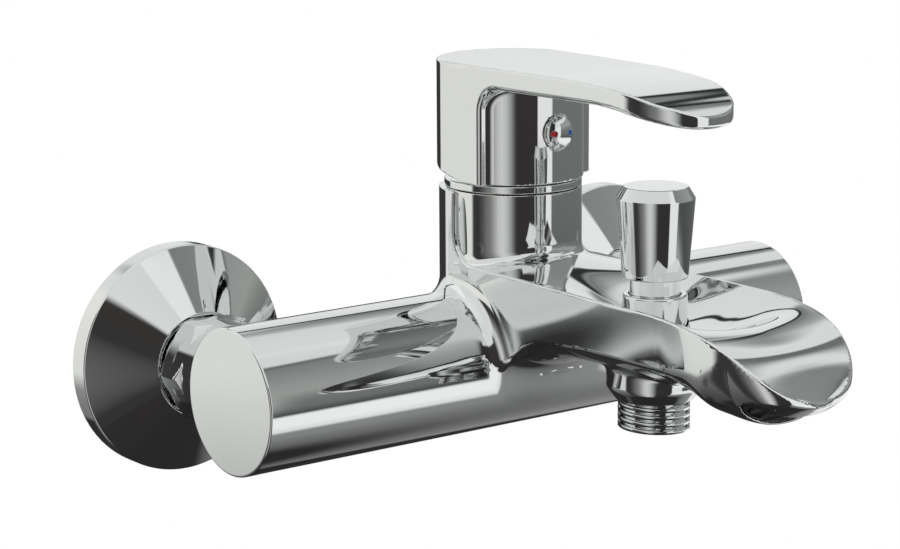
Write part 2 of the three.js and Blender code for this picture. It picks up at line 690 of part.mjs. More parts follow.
// ---------------------------------------------------------------------------------------------
// Unions, eccentric connectors and escutcheons
// ---------------------------------------------------------------------------------------------
const RING_END = STUB_REACH - SNAP_RING_BACK;
const RING_START = RING_END - SNAP_RING_THICK;
const GASKET_START = STUB_REACH + CLEAR;
const CONNECTOR_START = GASKET_START + GASKET_THICK + CLEAR;

function hexPrism(flats, from, to, chamfer) {
  const corner = flats / Math.sqrt(3);
  const points = Array.from({ length: 6 }, (_, i) => {
    const angle = (i * Math.PI) / 3;
    return new THREE.Vector2(corner * Math.cos(angle), corner * Math.sin(angle));
  });
  const geometry = new THREE.ExtrudeGeometry(new THREE.Shape(points), {
    depth: to - from, bevelEnabled: false,
  });
  geometry.rotateX(Math.PI / 2);
  geometry.translate(0, to, 0);
  const dome = turned([
    [0, from], [corner - chamfer, from], [corner + 0.2, from + chamfer], [corner + 0.2, to - chamfer],
    [corner - chamfer, to], [0, to],
  ], 'y', ROUND);
  return toSolid(geometry).intersect(dome);
}

function unionNut() {
  const lipStart = RING_START - CLEAR - NUT_LIP;
  const bore = UNION_THREAD_R + THREAD_GAP;
  const collar = rod(NUT_COLLAR_R, lipStart, NUT_HEX_START + OVERCUT, 'y', [0, 0, 0], ROUND);
  return cut(
    join(collar, hexPrism(NUT_FLATS, NUT_HEX_START, NUT_HEX_END, NUT_CHAMFER)),
    rod(STUB_R + CLEAR, lipStart - OVERCUT, NUT_HEX_END, 'y', [0, 0, 0], ROUND),
    rod(bore, RING_START - CLEAR, NUT_HEX_END + OVERCUT, 'y', [0, 0, 0], ROUND),
  );
}

function strainer() {
  const radius = CONNECTOR_BORE_R - CLEAR;
  const start = CONNECTOR_START + CLEAR;
  const disc = rod(radius, start, start + STRAINER_THICK, 'y', [0, 0, 0], ROUND_SMALL);
  const rings = [[0, 1], [0.6, STRAINER_HOLES]];
  const holes = rings.flatMap(([share, count]) => Array.from({ length: count }, (_, i) => {
    const angle = (2 * Math.PI * i) / count;
    const reach = share * (radius - STRAINER_RIM + STRAINER_HOLE_R / 2);
    const at = [reach * Math.cos(angle), 0, reach * Math.sin(angle)];
    return rod(STRAINER_HOLE_R, start - OVERCUT, start + STRAINER_THICK + OVERCUT, 'y', at, 6);
  }));
  return cut(disc, ...holes);
}

// an eccentric connector: its wall thread stands off sideways from its union thread
function connector(side) {
  const start = CONNECTOR_HUB_START;
  const offset = side * (WALL_PITCH / 2 - INLET_X);
  const tailAxis = [offset, 0, 0];
  const tailEnd = WALL_TO_AXIS + WALL_THREAD_DEPTH;
  const front = rod(UNION_THREAD_R, CONNECTOR_START, start + OVERCUT, 'y', [0, 0, 0], ROUND);
  const hub = rod(CONNECTOR_HUB_R, start, CONNECTOR_HUB_END, 'y', [offset / 2, 0, 0], ROUND);
  const tail = rod(WALL_THREAD_R, CONNECTOR_HUB_END - OVERCUT, tailEnd, 'y', tailAxis, ROUND);
  const middle = (start + CONNECTOR_HUB_END) / 2;
  return cut(
    join(front, hub, tail),
    rod(CONNECTOR_BORE_R, CONNECTOR_START - OVERCUT, middle + OVERCUT, 'y'),
    rod(CONNECTOR_TAIL_BORE_R, middle - OVERCUT, tailEnd + OVERCUT, 'y', tailAxis),
  );
}

function escutcheon() {
  const rimStart = WALL_TO_AXIS - ROSE_RIM;
  const boreR = UNION_THREAD_R + CLEAR;
  const run = rimStart - ROSE_START;
  const rise = ROSE_R - ROSE_NECK_R;
  const slant = (ROSE_WALL * Math.hypot(run, rise)) / rise; // wall measured along the axis
  return turned([
    [boreR, ROSE_START], [ROSE_NECK_R, ROSE_START], [ROSE_R, rimStart], [ROSE_R, WALL_TO_AXIS],
    [ROSE_R - ROSE_WALL, WALL_TO_AXIS], [ROSE_R - ROSE_WALL, rimStart + slant],
    [boreR, ROSE_START + slant], [boreR, ROSE_START],
  ], 'y', ROUND_LARGE);
}

SIDES.forEach(([word, side]) => {
  const place = (solid) => solid.translate([side * INLET_X, 0, 0]);
  const ringInner = STUB_R - SNAP_RING_DEPTH;
  const snapRing = ring(ringInner, STUB_R + SNAP_RING_PROUD, RING_START, RING_END, 'y');
  const half = SNAP_RING_SLOT / 2;
  const ringOuter = STUB_R + SNAP_RING_PROUD;
  const slotEnds = [RING_START - OVERCUT, RING_END + OVERCUT];
  const slot = block(-half, half, ...slotEnds, ringInner - OVERCUT, ringOuter + OVERCUT);
  const gasketEnd = GASKET_START + GASKET_THICK;
  const gasket = ring(CONNECTOR_BORE_R, STUB_R + GASKET_PROUD, GASKET_START, gasketEnd, 'y');
  add(`${word}_union_nut`, place(unionNut()), 'chrome');
  add(`${word}_nut_snap_ring`, place(cut(snapRing, slot)), 'steel');
  add(`${word}_union_gasket`, place(gasket), 'rubber');
  add(`${word}_strainer`, place(strainer()), 'steel');
  add(`${word}_eccentric_connector`, place(connector(side)), 'chrome');
  add(`${word}_escutcheon`, place(escutcheon()), 'chrome');
});

// ---------------------------------------------------------------------------------------------
// Cartridge
// ---------------------------------------------------------------------------------------------
const HOUSING_BORE_R = CARTRIDGE_R - HOUSING_WALL;
const HOUSING_MOUTH_R = HOUSING_BORE_R - HOUSING_SHOULDER;
const CARRIER_SOCKET_R = SPINDLE_FOOT_R + CARRIER_SOCKET_PLAY;
const SEAL_START = POCKET_FLOOR + CLEAR;
const HOUSING_START = SEAL_START + SEAL_PLATE + CLEAR;
const FIXED_DISC_START = HOUSING_START + HOUSING_BASE + CLEAR;
const MOVING_DISC_START = FIXED_DISC_START + DISC_THICK + CLEAR;
const CARRIER_START = MOVING_DISC_START + DISC_THICK + CLEAR;
const CARRIER_TOP = CARRIER_START + CARRIER_THICK + CARRIER_SOCKET_RISE;
const ROTOR_START = CARRIER_TOP + ROTOR_GAP;
const ROTOR_TOP = HOUSING_TOP - HOUSING_LIP - CLEAR;

function portHoles(from, to, radius) {
  return [[PORT_X, PORT_Y], [-PORT_X, PORT_Y], [0, OUTLET_PORT_Y]]
    .map(([x, y]) => rod(radius, from - OVERCUT, to + OVERCUT, 'z', [x, y, 0], 12));
}

function cartridgeHousing() {
  const outside = rod(CARTRIDGE_R, HOUSING_START, HOUSING_TOP, 'z', [0, 0, 0], ROUND);
  const lipStart = HOUSING_TOP - HOUSING_LIP;
  const inside = rod(HOUSING_BORE_R, FIXED_DISC_START - CLEAR, lipStart, 'z', [0, 0, 0], ROUND);
  const mouth = rod(HOUSING_MOUTH_R, lipStart - OVERCUT, HOUSING_TOP + OVERCUT, 'z', [0, 0, 0], ROUND);
  return cut(outside, inside, mouth, ...portHoles(HOUSING_START, FIXED_DISC_START, PORT_R));
}

function disc(start, radius, ...tools) {
  return cut(rod(radius, start, start + DISC_THICK, 'z', [0, 0, 0], ROUND), ...tools);
}

function movingDisc() {
  const top = MOVING_DISC_START + DISC_RECESS_DEPTH;
  const recess = rod(DISC_RECESS_R, MOVING_DISC_START - OVERCUT, top, 'z', [0, DISC_RECESS_Y, 0]);
  return disc(MOVING_DISC_START, CARRIER_R, recess);
}

function discCarrier() {
  return cut(
    join(
      rod(CARRIER_R, CARRIER_START, CARRIER_START + CARRIER_THICK, 'z', [0, 0, 0], ROUND),
      rod(CARRIER_SOCKET_R + CARRIER_SOCKET_WALL, CARRIER_START, CARRIER_TOP, 'z'),
    ),
    rod(CARRIER_SOCKET_R, CARRIER_START + CARRIER_SOCKET_FLOOR, CARRIER_TOP + OVERCUT, 'z'),
  );
}

function rotor() {
  const body = rod(ROTOR_R, ROTOR_START, ROTOR_TOP - ROTOR_STEP, 'z', [0, 0, 0], ROUND);
  const neckTop = HOUSING_TOP + ROTOR_RISE;
  const neck = rod(HOUSING_MOUTH_R - CLEAR, ROTOR_START, neckTop, 'z', [0, 0, 0], ROUND);
  const half = SPINDLE_SIDE / 2 + CLEAR;
  const window = block(-half, half, -ROTOR_MOUTH_R, ROTOR_MOUTH_R, ROTOR_START - OVERCUT, neckTop + OVERCUT);
  const pinBore = rod(PIN_R + CLEAR, -PIN_HALF - CLEAR, PIN_HALF + CLEAR, 'x', [0, 0, TILT_PIVOT], 16);
  return cut(join(body, neck), window, pinBore);
}

function spindle() {
  const half = SPINDLE_SIDE / 2;
  const shaft = block(-half, half, -half, half, TILT_PIVOT - SPINDLE_HEEL, SPINDLE_TOP);
  const tail = rod(SPINDLE_FOOT_R, SPINDLE_FOOT, TILT_PIVOT, 'z', [0, 0, 0], ROUND_SMALL);
  return cut(
    join(shaft, tail),
    rod(PIN_R + CLEAR, -half - OVERCUT, half + OVERCUT, 'x', [0, 0, TILT_PIVOT], 16),
  );
}

function cartridgeNut() {
  const top = COLLAR_TOP - NUT_DROP;
  const seat = HOUSING_TOP + CLEAR;
  const bore = HOUSING_MOUTH_R + NUT_MOUTH_GAP;
  const half = NUT_NOTCH_WIDTH / 2;
  const reach = NUT_THREAD_R - NUT_NOTCH_WALL;
  const notches = [45, 135, 225, 315].map((turn) => {
    const slot = block(bore - OVERCUT, reach, -half, half, top - NUT_NOTCH_DEPTH, top + OVERCUT);
    return slot.rotate([0, 0, turn]);
  });
  return cut(
    rod(NUT_THREAD_R, seat, top, 'z', [0, 0, 0], ROUND),
    rod(bore, seat - OVERCUT, top + OVERCUT, 'z', [0, 0, 0], ROUND),
    ...notches,
  );
}

// a ring that closes the gap under the handle and domes in towards the spindle
function trimRing() {
  const foot = COLLAR_TOP + CLEAR;
  const inner = TRIM_RING_DOME_R + TRIM_RING_THICK;
  const crown = TRIM_RING_TOP + TRIM_RING_RISE;
  const ceiling = crown - TRIM_RING_THICK;
  return turned([
    [inner, foot], [TRIM_RING_R, foot], [TRIM_RING_R, TRIM_RING_TOP],
    [TRIM_RING_DOME_R + TRIM_RING_SLOPE, TRIM_RING_TOP], [TRIM_RING_DOME_R, crown],
    [TRIM_RING_MOUTH_R, crown], [TRIM_RING_MOUTH_R, ceiling], [TRIM_RING_DOME_R, ceiling], [inner, foot],
  ], 'z', ROUND);
}

const sealPlate = cut(
  rod(CARTRIDGE_R - SEAL_PLATE_INSET, SEAL_START, SEAL_START + SEAL_PLATE, 'z', [0, 0, 0], ROUND),
  ...portHoles(SEAL_START, SEAL_START + SEAL_PLATE, PORT_R),
);
const FIXED_PORT_R = PORT_R - DISC_PORT_SHRINK;
const fixedPorts = portHoles(FIXED_DISC_START, FIXED_DISC_START + DISC_THICK, FIXED_PORT_R);
add('cartridge_base_seal', sealPlate, 'rubber');
add('cartridge_housing', cartridgeHousing(), 'plastic');
add('fixed_ceramic_disc', disc(FIXED_DISC_START, DISC_R, ...fixedPorts), 'ceramic');
add('moving_ceramic_disc', movingDisc(), 'ceramic');
add('disc_carrier', discCarrier(), 'darkPlastic');
add('cartridge_rotor', rotor(), 'plastic');
add('spindle_pin', rod(PIN_R, -PIN_HALF, PIN_HALF, 'x', [0, 0, TILT_PIVOT], 16), 'steel');
add('lever_spindle', spindle(), 'brass');
add('cartridge_nut', cartridgeNut(), 'brass');
add('trim_ring', trimRing(), 'chrome');

// ---------------------------------------------------------------------------------------------
// Handle
// ---------------------------------------------------------------------------------------------
const HANDLE_SIDE = HANDLE_BACK_R - HANDLE_FLAT;
const HANDLE_FRONT_R = HANDLE_BACK_R - HANDLE_STEP;
const HANDLE_WALL_R = HANDLE_FRONT_R - HANDLE_WALL;

// upper and lower side curves, as heights below the handle's top against the distance forwards
const fromLeverTip = (setback) => LEVER_TIP - setback;
const topDrop = profile([
  [-HANDLE_BACK_R - OVERCUT, 0], [fromLeverTip(46.3), 0], [fromLeverTip(26.3), 0.9],
  [fromLeverTip(16.3), 2.2], [fromLeverTip(9.3), 4.1], [fromLeverTip(4.3), 5.5],
  [LEVER_TIP, LEVER_TIP_DROP],
]);
const underDrop = profile([
  [-HANDLE_BACK_R - OVERCUT, LEVER_THICK], [fromLeverTip(30.3), LEVER_THICK], [fromLeverTip(22.3), 6.9],
  [fromLeverTip(16.3), 8.1], [fromLeverTip(8.3), 9.7], [fromLeverTip(3.3), 10.8],
  [LEVER_TIP, LEVER_TIP_DROP + LEVER_TIP_THICK],
]);
const leverTop = (along) => HANDLE_TOP - topDrop(along);
const leverUnder = (along) => HANDLE_TOP - underDrop(along);

function leafPlan() {
  const cornerAngle = THREE.MathUtils.radToDeg(Math.acos(HANDLE_SIDE / HANDLE_BACK_R));
  const rightEdge = new THREE.SplineCurve([
    [0, LEVER_TIP], [8, fromLeverTip(1.9)], [13.4, fromLeverTip(7.3)], [16.6, fromLeverTip(16.3)],
    [18.7, fromLeverTip(30.3)], [20.1, 40], [21, 20], [HANDLE_SIDE, 0],
  ].map(([x, along]) => new THREE.Vector2(x, -along))).getPoints(24);
  const leftEdge = rightEdge.slice(1).reverse().map((point) => new THREE.Vector2(-point.x, point.y));
  return [...rightEdge, ...arcPoints(0, 0, HANDLE_BACK_R, cornerAngle, 180 - cornerAngle, 20), ...leftEdge];
}

function leverSide() {
  const steps = [
    -30, 20, ...[43.3, 33.3, 26.3, 21.3, 16.3, 12.3, 8.3, 5.3, 2.3, -OVERCUT].map(fromLeverTip),
  ];
  const top = steps.map((along) => new THREE.Vector2(-along, leverTop(along)));
  const under = steps.map((along) => new THREE.Vector2(-along, leverUnder(along)));
  return [...top, ...under.reverse()];
}

function handleSolid() {
  const high = leverTop(0);
  const plate = raised(leafPlan(), HANDLE_FOOT, high + OVERCUT);
  const lever = plate.intersect(sideways(leverSide(), -HANDLE_BACK_R - OVERCUT, HANDLE_BACK_R + OVERCUT));
  const under = leverUnder(0);
  const inner = HANDLE_PANEL_EDGE;
  const panelSide = [
    new THREE.Vector2(HANDLE_BACK_R + OVERCUT, HANDLE_FOOT),
    new THREE.Vector2(HANDLE_BACK_R + OVERCUT, high),
    new THREE.Vector2(inner - HANDLE_CORNER, high),
    new THREE.Vector2(inner - HANDLE_CORNER, under),
    ...arcPoints(inner - HANDLE_CORNER, under - HANDLE_CORNER, HANDLE_CORNER, 90, 0, 8),
    new THREE.Vector2(inner, HANDLE_FOOT),
  ];
  const panels = plate.intersect(sideways(panelSide, -HANDLE_BACK_R - OVERCUT, HANDLE_BACK_R + OVERCUT));
  const front = rod(HANDLE_FRONT_R, HANDLE_FOOT, high - OVERCUT, 'z', [0, 0, 0], ROUND);
  const roof = high - HANDLE_ROOF;
  const cavity = rod(HANDLE_WALL_R, HANDLE_FOOT - OVERCUT, roof, 'z', [0, 0, 0], ROUND);
  const boss = rod(HANDLE_BOSS_R, HANDLE_BOSS_FOOT, roof + OVERCUT, 'z');
  const reach = HANDLE_BACK_R + 2 * OVERCUT - HANDLE_RELIEF_START;
  const rise = reach * Math.tan(THREE.MathUtils.degToRad(HANDLE_RELIEF_ANGLE));
  const relief = sideways([
    new THREE.Vector2(HANDLE_RELIEF_START, HANDLE_FOOT - 0.01),
    new THREE.Vector2(HANDLE_RELIEF_START, HANDLE_FOOT - OVERCUT),
    new THREE.Vector2(HANDLE_RELIEF_START + reach, HANDLE_FOOT - OVERCUT),
    new THREE.Vector2(HANDLE_RELIEF_START + reach, HANDLE_FOOT + rise),
  ], -HANDLE_BACK_R - OVERCUT, HANDLE_BACK_R + OVERCUT);
  const socket = SPINDLE_SIDE / 2 + CLEAR;
  const bridgeR = SCREW_R + SCREW_BRIDGE_WALL;
  const screwBridge = rod(bridgeR, -HANDLE_FRONT_R + OVERCUT, 0, 'y', [0, 0, SCREW_Z], ROUND_SMALL);
  const mouth = -HANDLE_FRONT_R - 2 * OVERCUT;
  const plugEnd = -HANDLE_FRONT_R + BUTTON_PLUG;
  const body = cut(join(lever, panels, front), cavity);
  return cut(
    join(body, boss, screwBridge),
    relief,
    block(-socket, socket, -socket, socket, HANDLE_BOSS_FOOT - 3 * OVERCUT, SPINDLE_TOP + CLEAR),
    rod(SCREW_R + CLEAR, mouth, 0, 'y', [0, 0, SCREW_Z], 16),
    rod(BUTTON_PLUG_R + CLEAR, mouth, plugEnd, 'y', [0, 0, SCREW_Z], 16),
  );
}

function dotPlace(side) {
  const sphere = (BUTTON_R ** 2 + BUTTON_DOME ** 2) / (2 * BUTTON_DOME);
  const centre = -HANDLE_FRONT_R - CLEAR - BUTTON_DOME + sphere;
  const lean = Math.asin(DOT_SPREAD / sphere);
  return { x: side * DOT_SPREAD, y: centre - sphere * Math.cos(lean), lean };
}

function indexButton() {
  const base = -HANDLE_FRONT_R - CLEAR;
  const end = base + BUTTON_PLUG;
  const dome = arcPoints(0, 0, 1, 0, 90, 6).map(({ x, y }) => [BUTTON_R * x, base - BUTTON_DOME * y]);
  const body = turned([[0, end], [BUTTON_PLUG_R, end], [BUTTON_PLUG_R, base], ...dome], 'y', ROUND_SMALL);
  const pits = [-1, 1].map((side) => {
    const { x, y } = dotPlace(side);
    return rod(DOT_R + DOT_GAP, y - 2 * OVERCUT, y - DOT_PROUD + DOT_THICK + DOT_GAP, 'y', [x, 0, 0], 12);
  });
  return cut(body, ...pits).translate([0, 0, SCREW_Z]);
}

add('handle', handleSolid(), 'chrome');
const screwEnd = -SPINDLE_SIDE / 2 - CLEAR;
add('handle_set_screw', rod(SCREW_R, -SCREW_REACH, screwEnd, 'y', [0, 0, SCREW_Z], 16), 'steel');
add('index_button', indexButton(), 'chrome');
[['hot', -1, 'redEnamel'], ['cold', 1, 'blueEnamel']].forEach(([word, side, colour]) => {
  const { x, y } = dotPlace(side);
  const dot = rod(DOT_R, y - DOT_PROUD, y - DOT_PROUD + DOT_THICK, 'y', [x, 0, SCREW_Z], 12);
  add(`${word}_index_dot`, dot, colour);
});

// ---------------------------------------------------------------------------------------------
// Diverter and shower outlet
// ---------------------------------------------------------------------------------------------
const AT_DIVERTER = [0, DIVERTER_Y, 0];
const NIPPLE_TOP = CHAMBER_FLOOR - CLEAR;
const LOWER_SEAL_START = NIPPLE_TOP + VALVE_REST;
const VALVE_START = LOWER_SEAL_START + VALVE_SEAL_THICK + CLEAR;
const UPPER_SEAL_START = VALVE_START + VALVE_THICK + CLEAR;
const STEM_COLLAR_START = UPPER_SEAL_START + VALVE_SEAL_THICK + CLEAR;
const SPRING_START = STEM_COLLAR_START + STEM_COLLAR + CLEAR;
const BONNET_WEB_FOOT = BONNET_WEB_TOP - BONNET_WEB;
const STEM_HOLE_R = STEM_R + CLEAR;
const STEM_TOP = KNOB_SHOULDER - KNOB_SOCKET_ROOF;

function bonnet() {
  const foot = CHAMBER_ROOF + CLEAR;
  const seat = BONNET_SEAT + CLEAR;
  const edge = BONNET_EDGE;
  const outline = [
    [0, foot], [BONNET_SHANK_R, foot], [BONNET_SHANK_R, seat], [BONNET_R, seat],
    ...arcPoints(BONNET_R - edge, BONNET_TOP - edge, edge, 0, 90, 4).map((point) => [point.x, point.y]),
    [0, BONNET_TOP],
  ];
  return cut(
    turned(outline, 'z', ROUND, AT_DIVERTER),
    rod(SPRING_BAY_R, foot - OVERCUT, BONNET_WEB_FOOT, 'z', AT_DIVERTER),
    rod(STEM_HOLE_R, BONNET_WEB_FOOT - OVERCUT, BONNET_WEB_TOP + OVERCUT, 'z', AT_DIVERTER),
    rod(BONNET_GUIDE_R, BONNET_WEB_TOP, BONNET_TOP + OVERCUT, 'z', AT_DIVERTER, ROUND),
  );
}

function knob() {
  const foot = BONNET_WEB_TOP + CLEAR;
  const outline = [
    [0, foot], [KNOB_NECK_R, foot], [KNOB_NECK_R, KNOB_FOOT], [KNOB_FOOT_R, KNOB_FOOT],
    [KNOB_SHOULDER_R, KNOB_SHOULDER], [KNOB_TOP_R, KNOB_TOP], [0, KNOB_TOP],
  ];
  return cut(
    turned(outline, 'z', ROUND, AT_DIVERTER),
    rod(STEM_HOLE_R, foot - OVERCUT, STEM_TOP + CLEAR, 'z', AT_DIVERTER, 16),
  );
}

function stem() {
  return join(
    rod(STEM_R, NIPPLE_TOP - STEM_TIP, STEM_TOP, 'z', AT_DIVERTER, 16),
    rod(STEM_HEAD_R, NIPPLE_TOP - STEM_TIP, LOWER_SEAL_START - CLEAR, 'z', AT_DIVERTER, 16),
    rod(STEM_COLLAR_R, STEM_COLLAR_START, STEM_COLLAR_START + STEM_COLLAR, 'z', AT_DIVERTER),
  );
}

class Helix extends THREE.Curve {
  constructor(radius, from, to, turns) {
    super();
    Object.assign(this, { radius, from, to, turns });
  }

  getPoint(share, target = new THREE.Vector3()) {
    const angle = 2 * Math.PI * this.turns * share;
    const height = this.from + (this.to - this.from) * share;
    return target.set(this.radius * Math.cos(angle), this.radius * Math.sin(angle), height);
  }
}

function spring() {
  const wire = new THREE.Shape(arcPoints(0, 0, SPRING_WIRE_R, 0, 360, 5).slice(0, -1));
  const from = SPRING_START + SPRING_WIRE_R;
  const to = BONNET_WEB_FOOT - CLEAR - SPRING_WIRE_R;
  const path = new Helix(SPRING_MEAN_R, from, to, SPRING_TURNS);
  const steps = Math.round(11 * SPRING_TURNS);
  const geometry = new THREE.ExtrudeGeometry(wire, { steps, extrudePath: path, bevelEnabled: false });
  geometry.translate(...AT_DIVERTER);
  return toSolid(geometry);
}

// male pipe thread drawn as its ridges
function nipple() {
  const root = THREAD_R - THREAD_DEPTH;
  const ridges = [];
  for (let i = 0; i < THREAD_TURNS; i += 1) {
    const crest = THREAD_TOP - (i + 0.5) * THREAD_PITCH;
    ridges.push([THREAD_R, crest]);
    if (i + 1 < THREAD_TURNS) ridges.push([root, crest - THREAD_PITCH / 2]);
  }
  const foot = THREAD_TOP - THREAD_TURNS * THREAD_PITCH + THREAD_END;
  const outline = [
    [NIPPLE_BORE_R, NIPPLE_TOP], [NIPPLE_SHANK_R, NIPPLE_TOP], [NIPPLE_SHANK_R, BOSS_FOOT - CLEAR],
    [root, BOSS_FOOT - CLEAR], [root, THREAD_TOP], ...ridges, [root, foot], [NIPPLE_BORE_R, foot],
    [NIPPLE_BORE_R, NIPPLE_TOP],
  ];
  return turned(outline, 'z', ROUND, AT_DIVERTER);
}

const washer = (radius, start, thick) => ring(STEM_HOLE_R, radius, start, start + thick, 'z', AT_DIVERTER);
add('diverter_bonnet', bonnet(), 'chrome');
add('diverter_knob', knob(), 'chrome');
add('diverter_stem', stem(), 'brass');
add('diverter_spring', spring(), 'steel');
add('diverter_valve', washer(VALVE_R, VALVE_START, VALVE_THICK), 'brass');
add('lower_valve_seal', washer(VALVE_SEAL_R, LOWER_SEAL_START, VALVE_SEAL_THICK), 'rubber');
add('upper_valve_seal', washer(VALVE_SEAL_R, UPPER_SEAL_START, VALVE_SEAL_THICK), 'rubber');
add('shower_outlet_nipple', nipple(), 'chrome');

// ---------------------------------------------------------------------------------------------
// Aerator in the spout outlet
// ---------------------------------------------------------------------------------------------
function aeratorFrame() {
  const end = OUTLET_RECESS + AERATOR_THICK;
  const envelope = curvedSlab(CLEAR, OUTLET_RECESS, end);
  const pitch = (2 * OUTLET_HALF) / (AERATOR_TEETH + 1);
  const teeth = Array.from({ length: AERATOR_TEETH }, (_, i) => {
    const x = (i + 1) * pitch - OUTLET_HALF;
    const half = TOOTH_THICK / 2;
    const tooth = block(x - half, x + half, -SPOUT_LENGTH, -HULL_END, -OUTLET_HALF, OUTLET_HALF);
    return tooth.intersect(envelope);
  });
  return join(cut(envelope, outletPlug(CLEAR + AERATOR_RIM)), ...teeth);
}

const screenStart = OUTLET_RECESS + AERATOR_THICK + CLEAR;
add('aerator_frame', aeratorFrame(), 'darkPlastic');
add('aerator_screen', curvedSlab(CLEAR, screenStart, screenStart + SCREEN_THICK), 'steel');

export default mixer;
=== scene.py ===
"""Finished surfaces, materials, studio and camera for a wall mounted bath and shower mixer."""
import json
import math

import bmesh
import bpy
import numpy as np
from bpy.props import FloatProperty, FloatVectorProperty, IntProperty, PointerProperty
from mathutils import Matrix, Vector


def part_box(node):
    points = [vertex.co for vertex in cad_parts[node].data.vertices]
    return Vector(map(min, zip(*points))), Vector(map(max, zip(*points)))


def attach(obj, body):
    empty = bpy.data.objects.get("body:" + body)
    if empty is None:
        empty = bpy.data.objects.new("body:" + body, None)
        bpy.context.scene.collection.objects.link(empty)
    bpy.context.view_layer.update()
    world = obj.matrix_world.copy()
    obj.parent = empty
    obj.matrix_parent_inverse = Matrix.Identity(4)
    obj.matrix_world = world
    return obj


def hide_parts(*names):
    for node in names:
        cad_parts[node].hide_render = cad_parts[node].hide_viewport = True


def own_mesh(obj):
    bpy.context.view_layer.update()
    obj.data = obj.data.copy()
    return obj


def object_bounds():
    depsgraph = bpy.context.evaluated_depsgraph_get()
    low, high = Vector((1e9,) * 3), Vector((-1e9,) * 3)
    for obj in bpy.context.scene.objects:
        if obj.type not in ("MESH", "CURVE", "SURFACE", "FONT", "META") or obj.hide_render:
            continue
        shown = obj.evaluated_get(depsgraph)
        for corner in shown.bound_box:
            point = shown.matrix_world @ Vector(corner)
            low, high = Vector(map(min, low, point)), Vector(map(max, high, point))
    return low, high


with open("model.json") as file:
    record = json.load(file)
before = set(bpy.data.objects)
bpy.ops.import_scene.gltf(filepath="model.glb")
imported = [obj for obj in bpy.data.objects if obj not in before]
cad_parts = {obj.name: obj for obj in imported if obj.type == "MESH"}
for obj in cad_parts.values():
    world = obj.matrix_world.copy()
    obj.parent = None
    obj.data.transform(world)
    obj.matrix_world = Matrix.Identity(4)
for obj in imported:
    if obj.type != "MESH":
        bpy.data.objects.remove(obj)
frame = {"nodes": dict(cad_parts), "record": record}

bl_info = {
    "name": "Bath Mixer Finisher",
    "version": (1, 0, 0),
    "blender": (4, 5, 0),
    "location": "3D View > Sidebar > Mixer",
    "description": "Builds the polished surfaces of a wall mounted bath mixer around its solid model",
    "category": "Add Mesh",
}

# ---- Sizes that come from the solid model, in millimetres, measured from the body tube's axis ----
CAD_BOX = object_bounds()
MM = 0.001


def cad_box(node):
    """The node's lowest and highest corners in millimetres."""
    low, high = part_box(node)
    return np.array(low) / MM, np.array(high) / MM


AXIS_Y = sum(corner[1] for corner in cad_box("right_end_cap")) / 2  # the wall face is at zero


def from_axis(node):
    """The node's box, with Y measured from the body tube's axis."""
    shift = np.array([0, AXIS_Y, 0])
    low, high = cad_box(node)
    return low - shift, high - shift


CAP_LOW, CAP_HIGH = from_axis("right_end_cap")
CAST_LOW, CAST_HIGH = from_axis("body_casting")
KNOB_LOW, KNOB_HIGH = from_axis("diverter_knob")
BONNET_LOW, BONNET_HIGH = from_axis("diverter_bonnet")
HANDLE_LOW, HANDLE_HIGH = from_axis("handle")
RING_LOW, RING_HIGH = from_axis("trim_ring")
ROSE_LOW, ROSE_HIGH = from_axis("right_escutcheon")
NUT_LOW, NUT_HIGH = from_axis("right_union_nut")
NIPPLE_LOW, NIPPLE_HIGH = from_axis("shower_outlet_nipple")
BUTTON_LOW, BUTTON_HIGH = from_axis("index_button")

TUBE_R = CAP_HIGH[2]
TUBE_HALF = CAST_HIGH[0]
COLLAR_TOP = CAST_HIGH[2]
SPOUT_TIP = -CAST_LOW[1]
STUB_REACH = CAST_HIGH[1]
INLET_X = (ROSE_LOW[0] + ROSE_HIGH[0]) / 2
DIVERTER_Y = (KNOB_LOW[1] + KNOB_HIGH[1]) / 2
LEVER_TIP = -HANDLE_LOW[1]
HANDLE_FOOT = HANDLE_LOW[2]
HANDLE_TOP = HANDLE_HIGH[2]
BUTTON_Z = (BUTTON_LOW[2] + BUTTON_HIGH[2]) / 2
CLEAR = 0.3  # gap between neighbouring pieces

# ---- Fields: each is below zero inside a shape, and near its distance in millimetres elsewhere ----


def rounded_union(a, b, radius):
    """Both shapes, with a fillet of that radius where they meet."""
    u = np.maximum(radius - a, 0)
    v = np.maximum(radius - b, 0)
    return np.maximum(radius, np.minimum(a, b)) - np.hypot(u, v)


def rounded_common(a, b, radius):
    """What both shapes hold, with its edges rounded to that radius."""
    u = np.maximum(radius + a, 0)
    v = np.maximum(radius + b, 0)
    return np.minimum(-radius, np.maximum(a, b)) + np.hypot(u, v)


def rounded_cut(a, tool, radius):
    """The first shape less the tool, with the new edge rounded to that radius."""
    return rounded_common(a, -tool, radius)


def slab(value, low, high):
    return np.maximum(low - value, value - high)


def quarter(a, b, radius):
    """Where a and b are both below zero, with the corner between them rounded."""
    u = np.maximum(a + radius, 0)
    v = np.maximum(b + radius, 0)
    return np.minimum(np.maximum(a, b) + radius, 0) + np.hypot(u, v) - radius


def evened(shape, x, y, z, step=0.04):
    """A field divided by its own steepness, so that it reads as a distance."""
    value = shape(x, y, z)
    slopes = [
        (shape(x + step, y, z) - value) / step,
        (shape(x, y + step, z) - value) / step,
        (shape(x, y, z + step) - value) / step,
    ]
    return value / np.maximum(np.sqrt(sum(s * s for s in slopes)), 0.35)


def smooth_step(value, start, end):
    share = np.clip((value - start) / (end - start), 0, 1)
    return share * share * (3 - 2 * share)


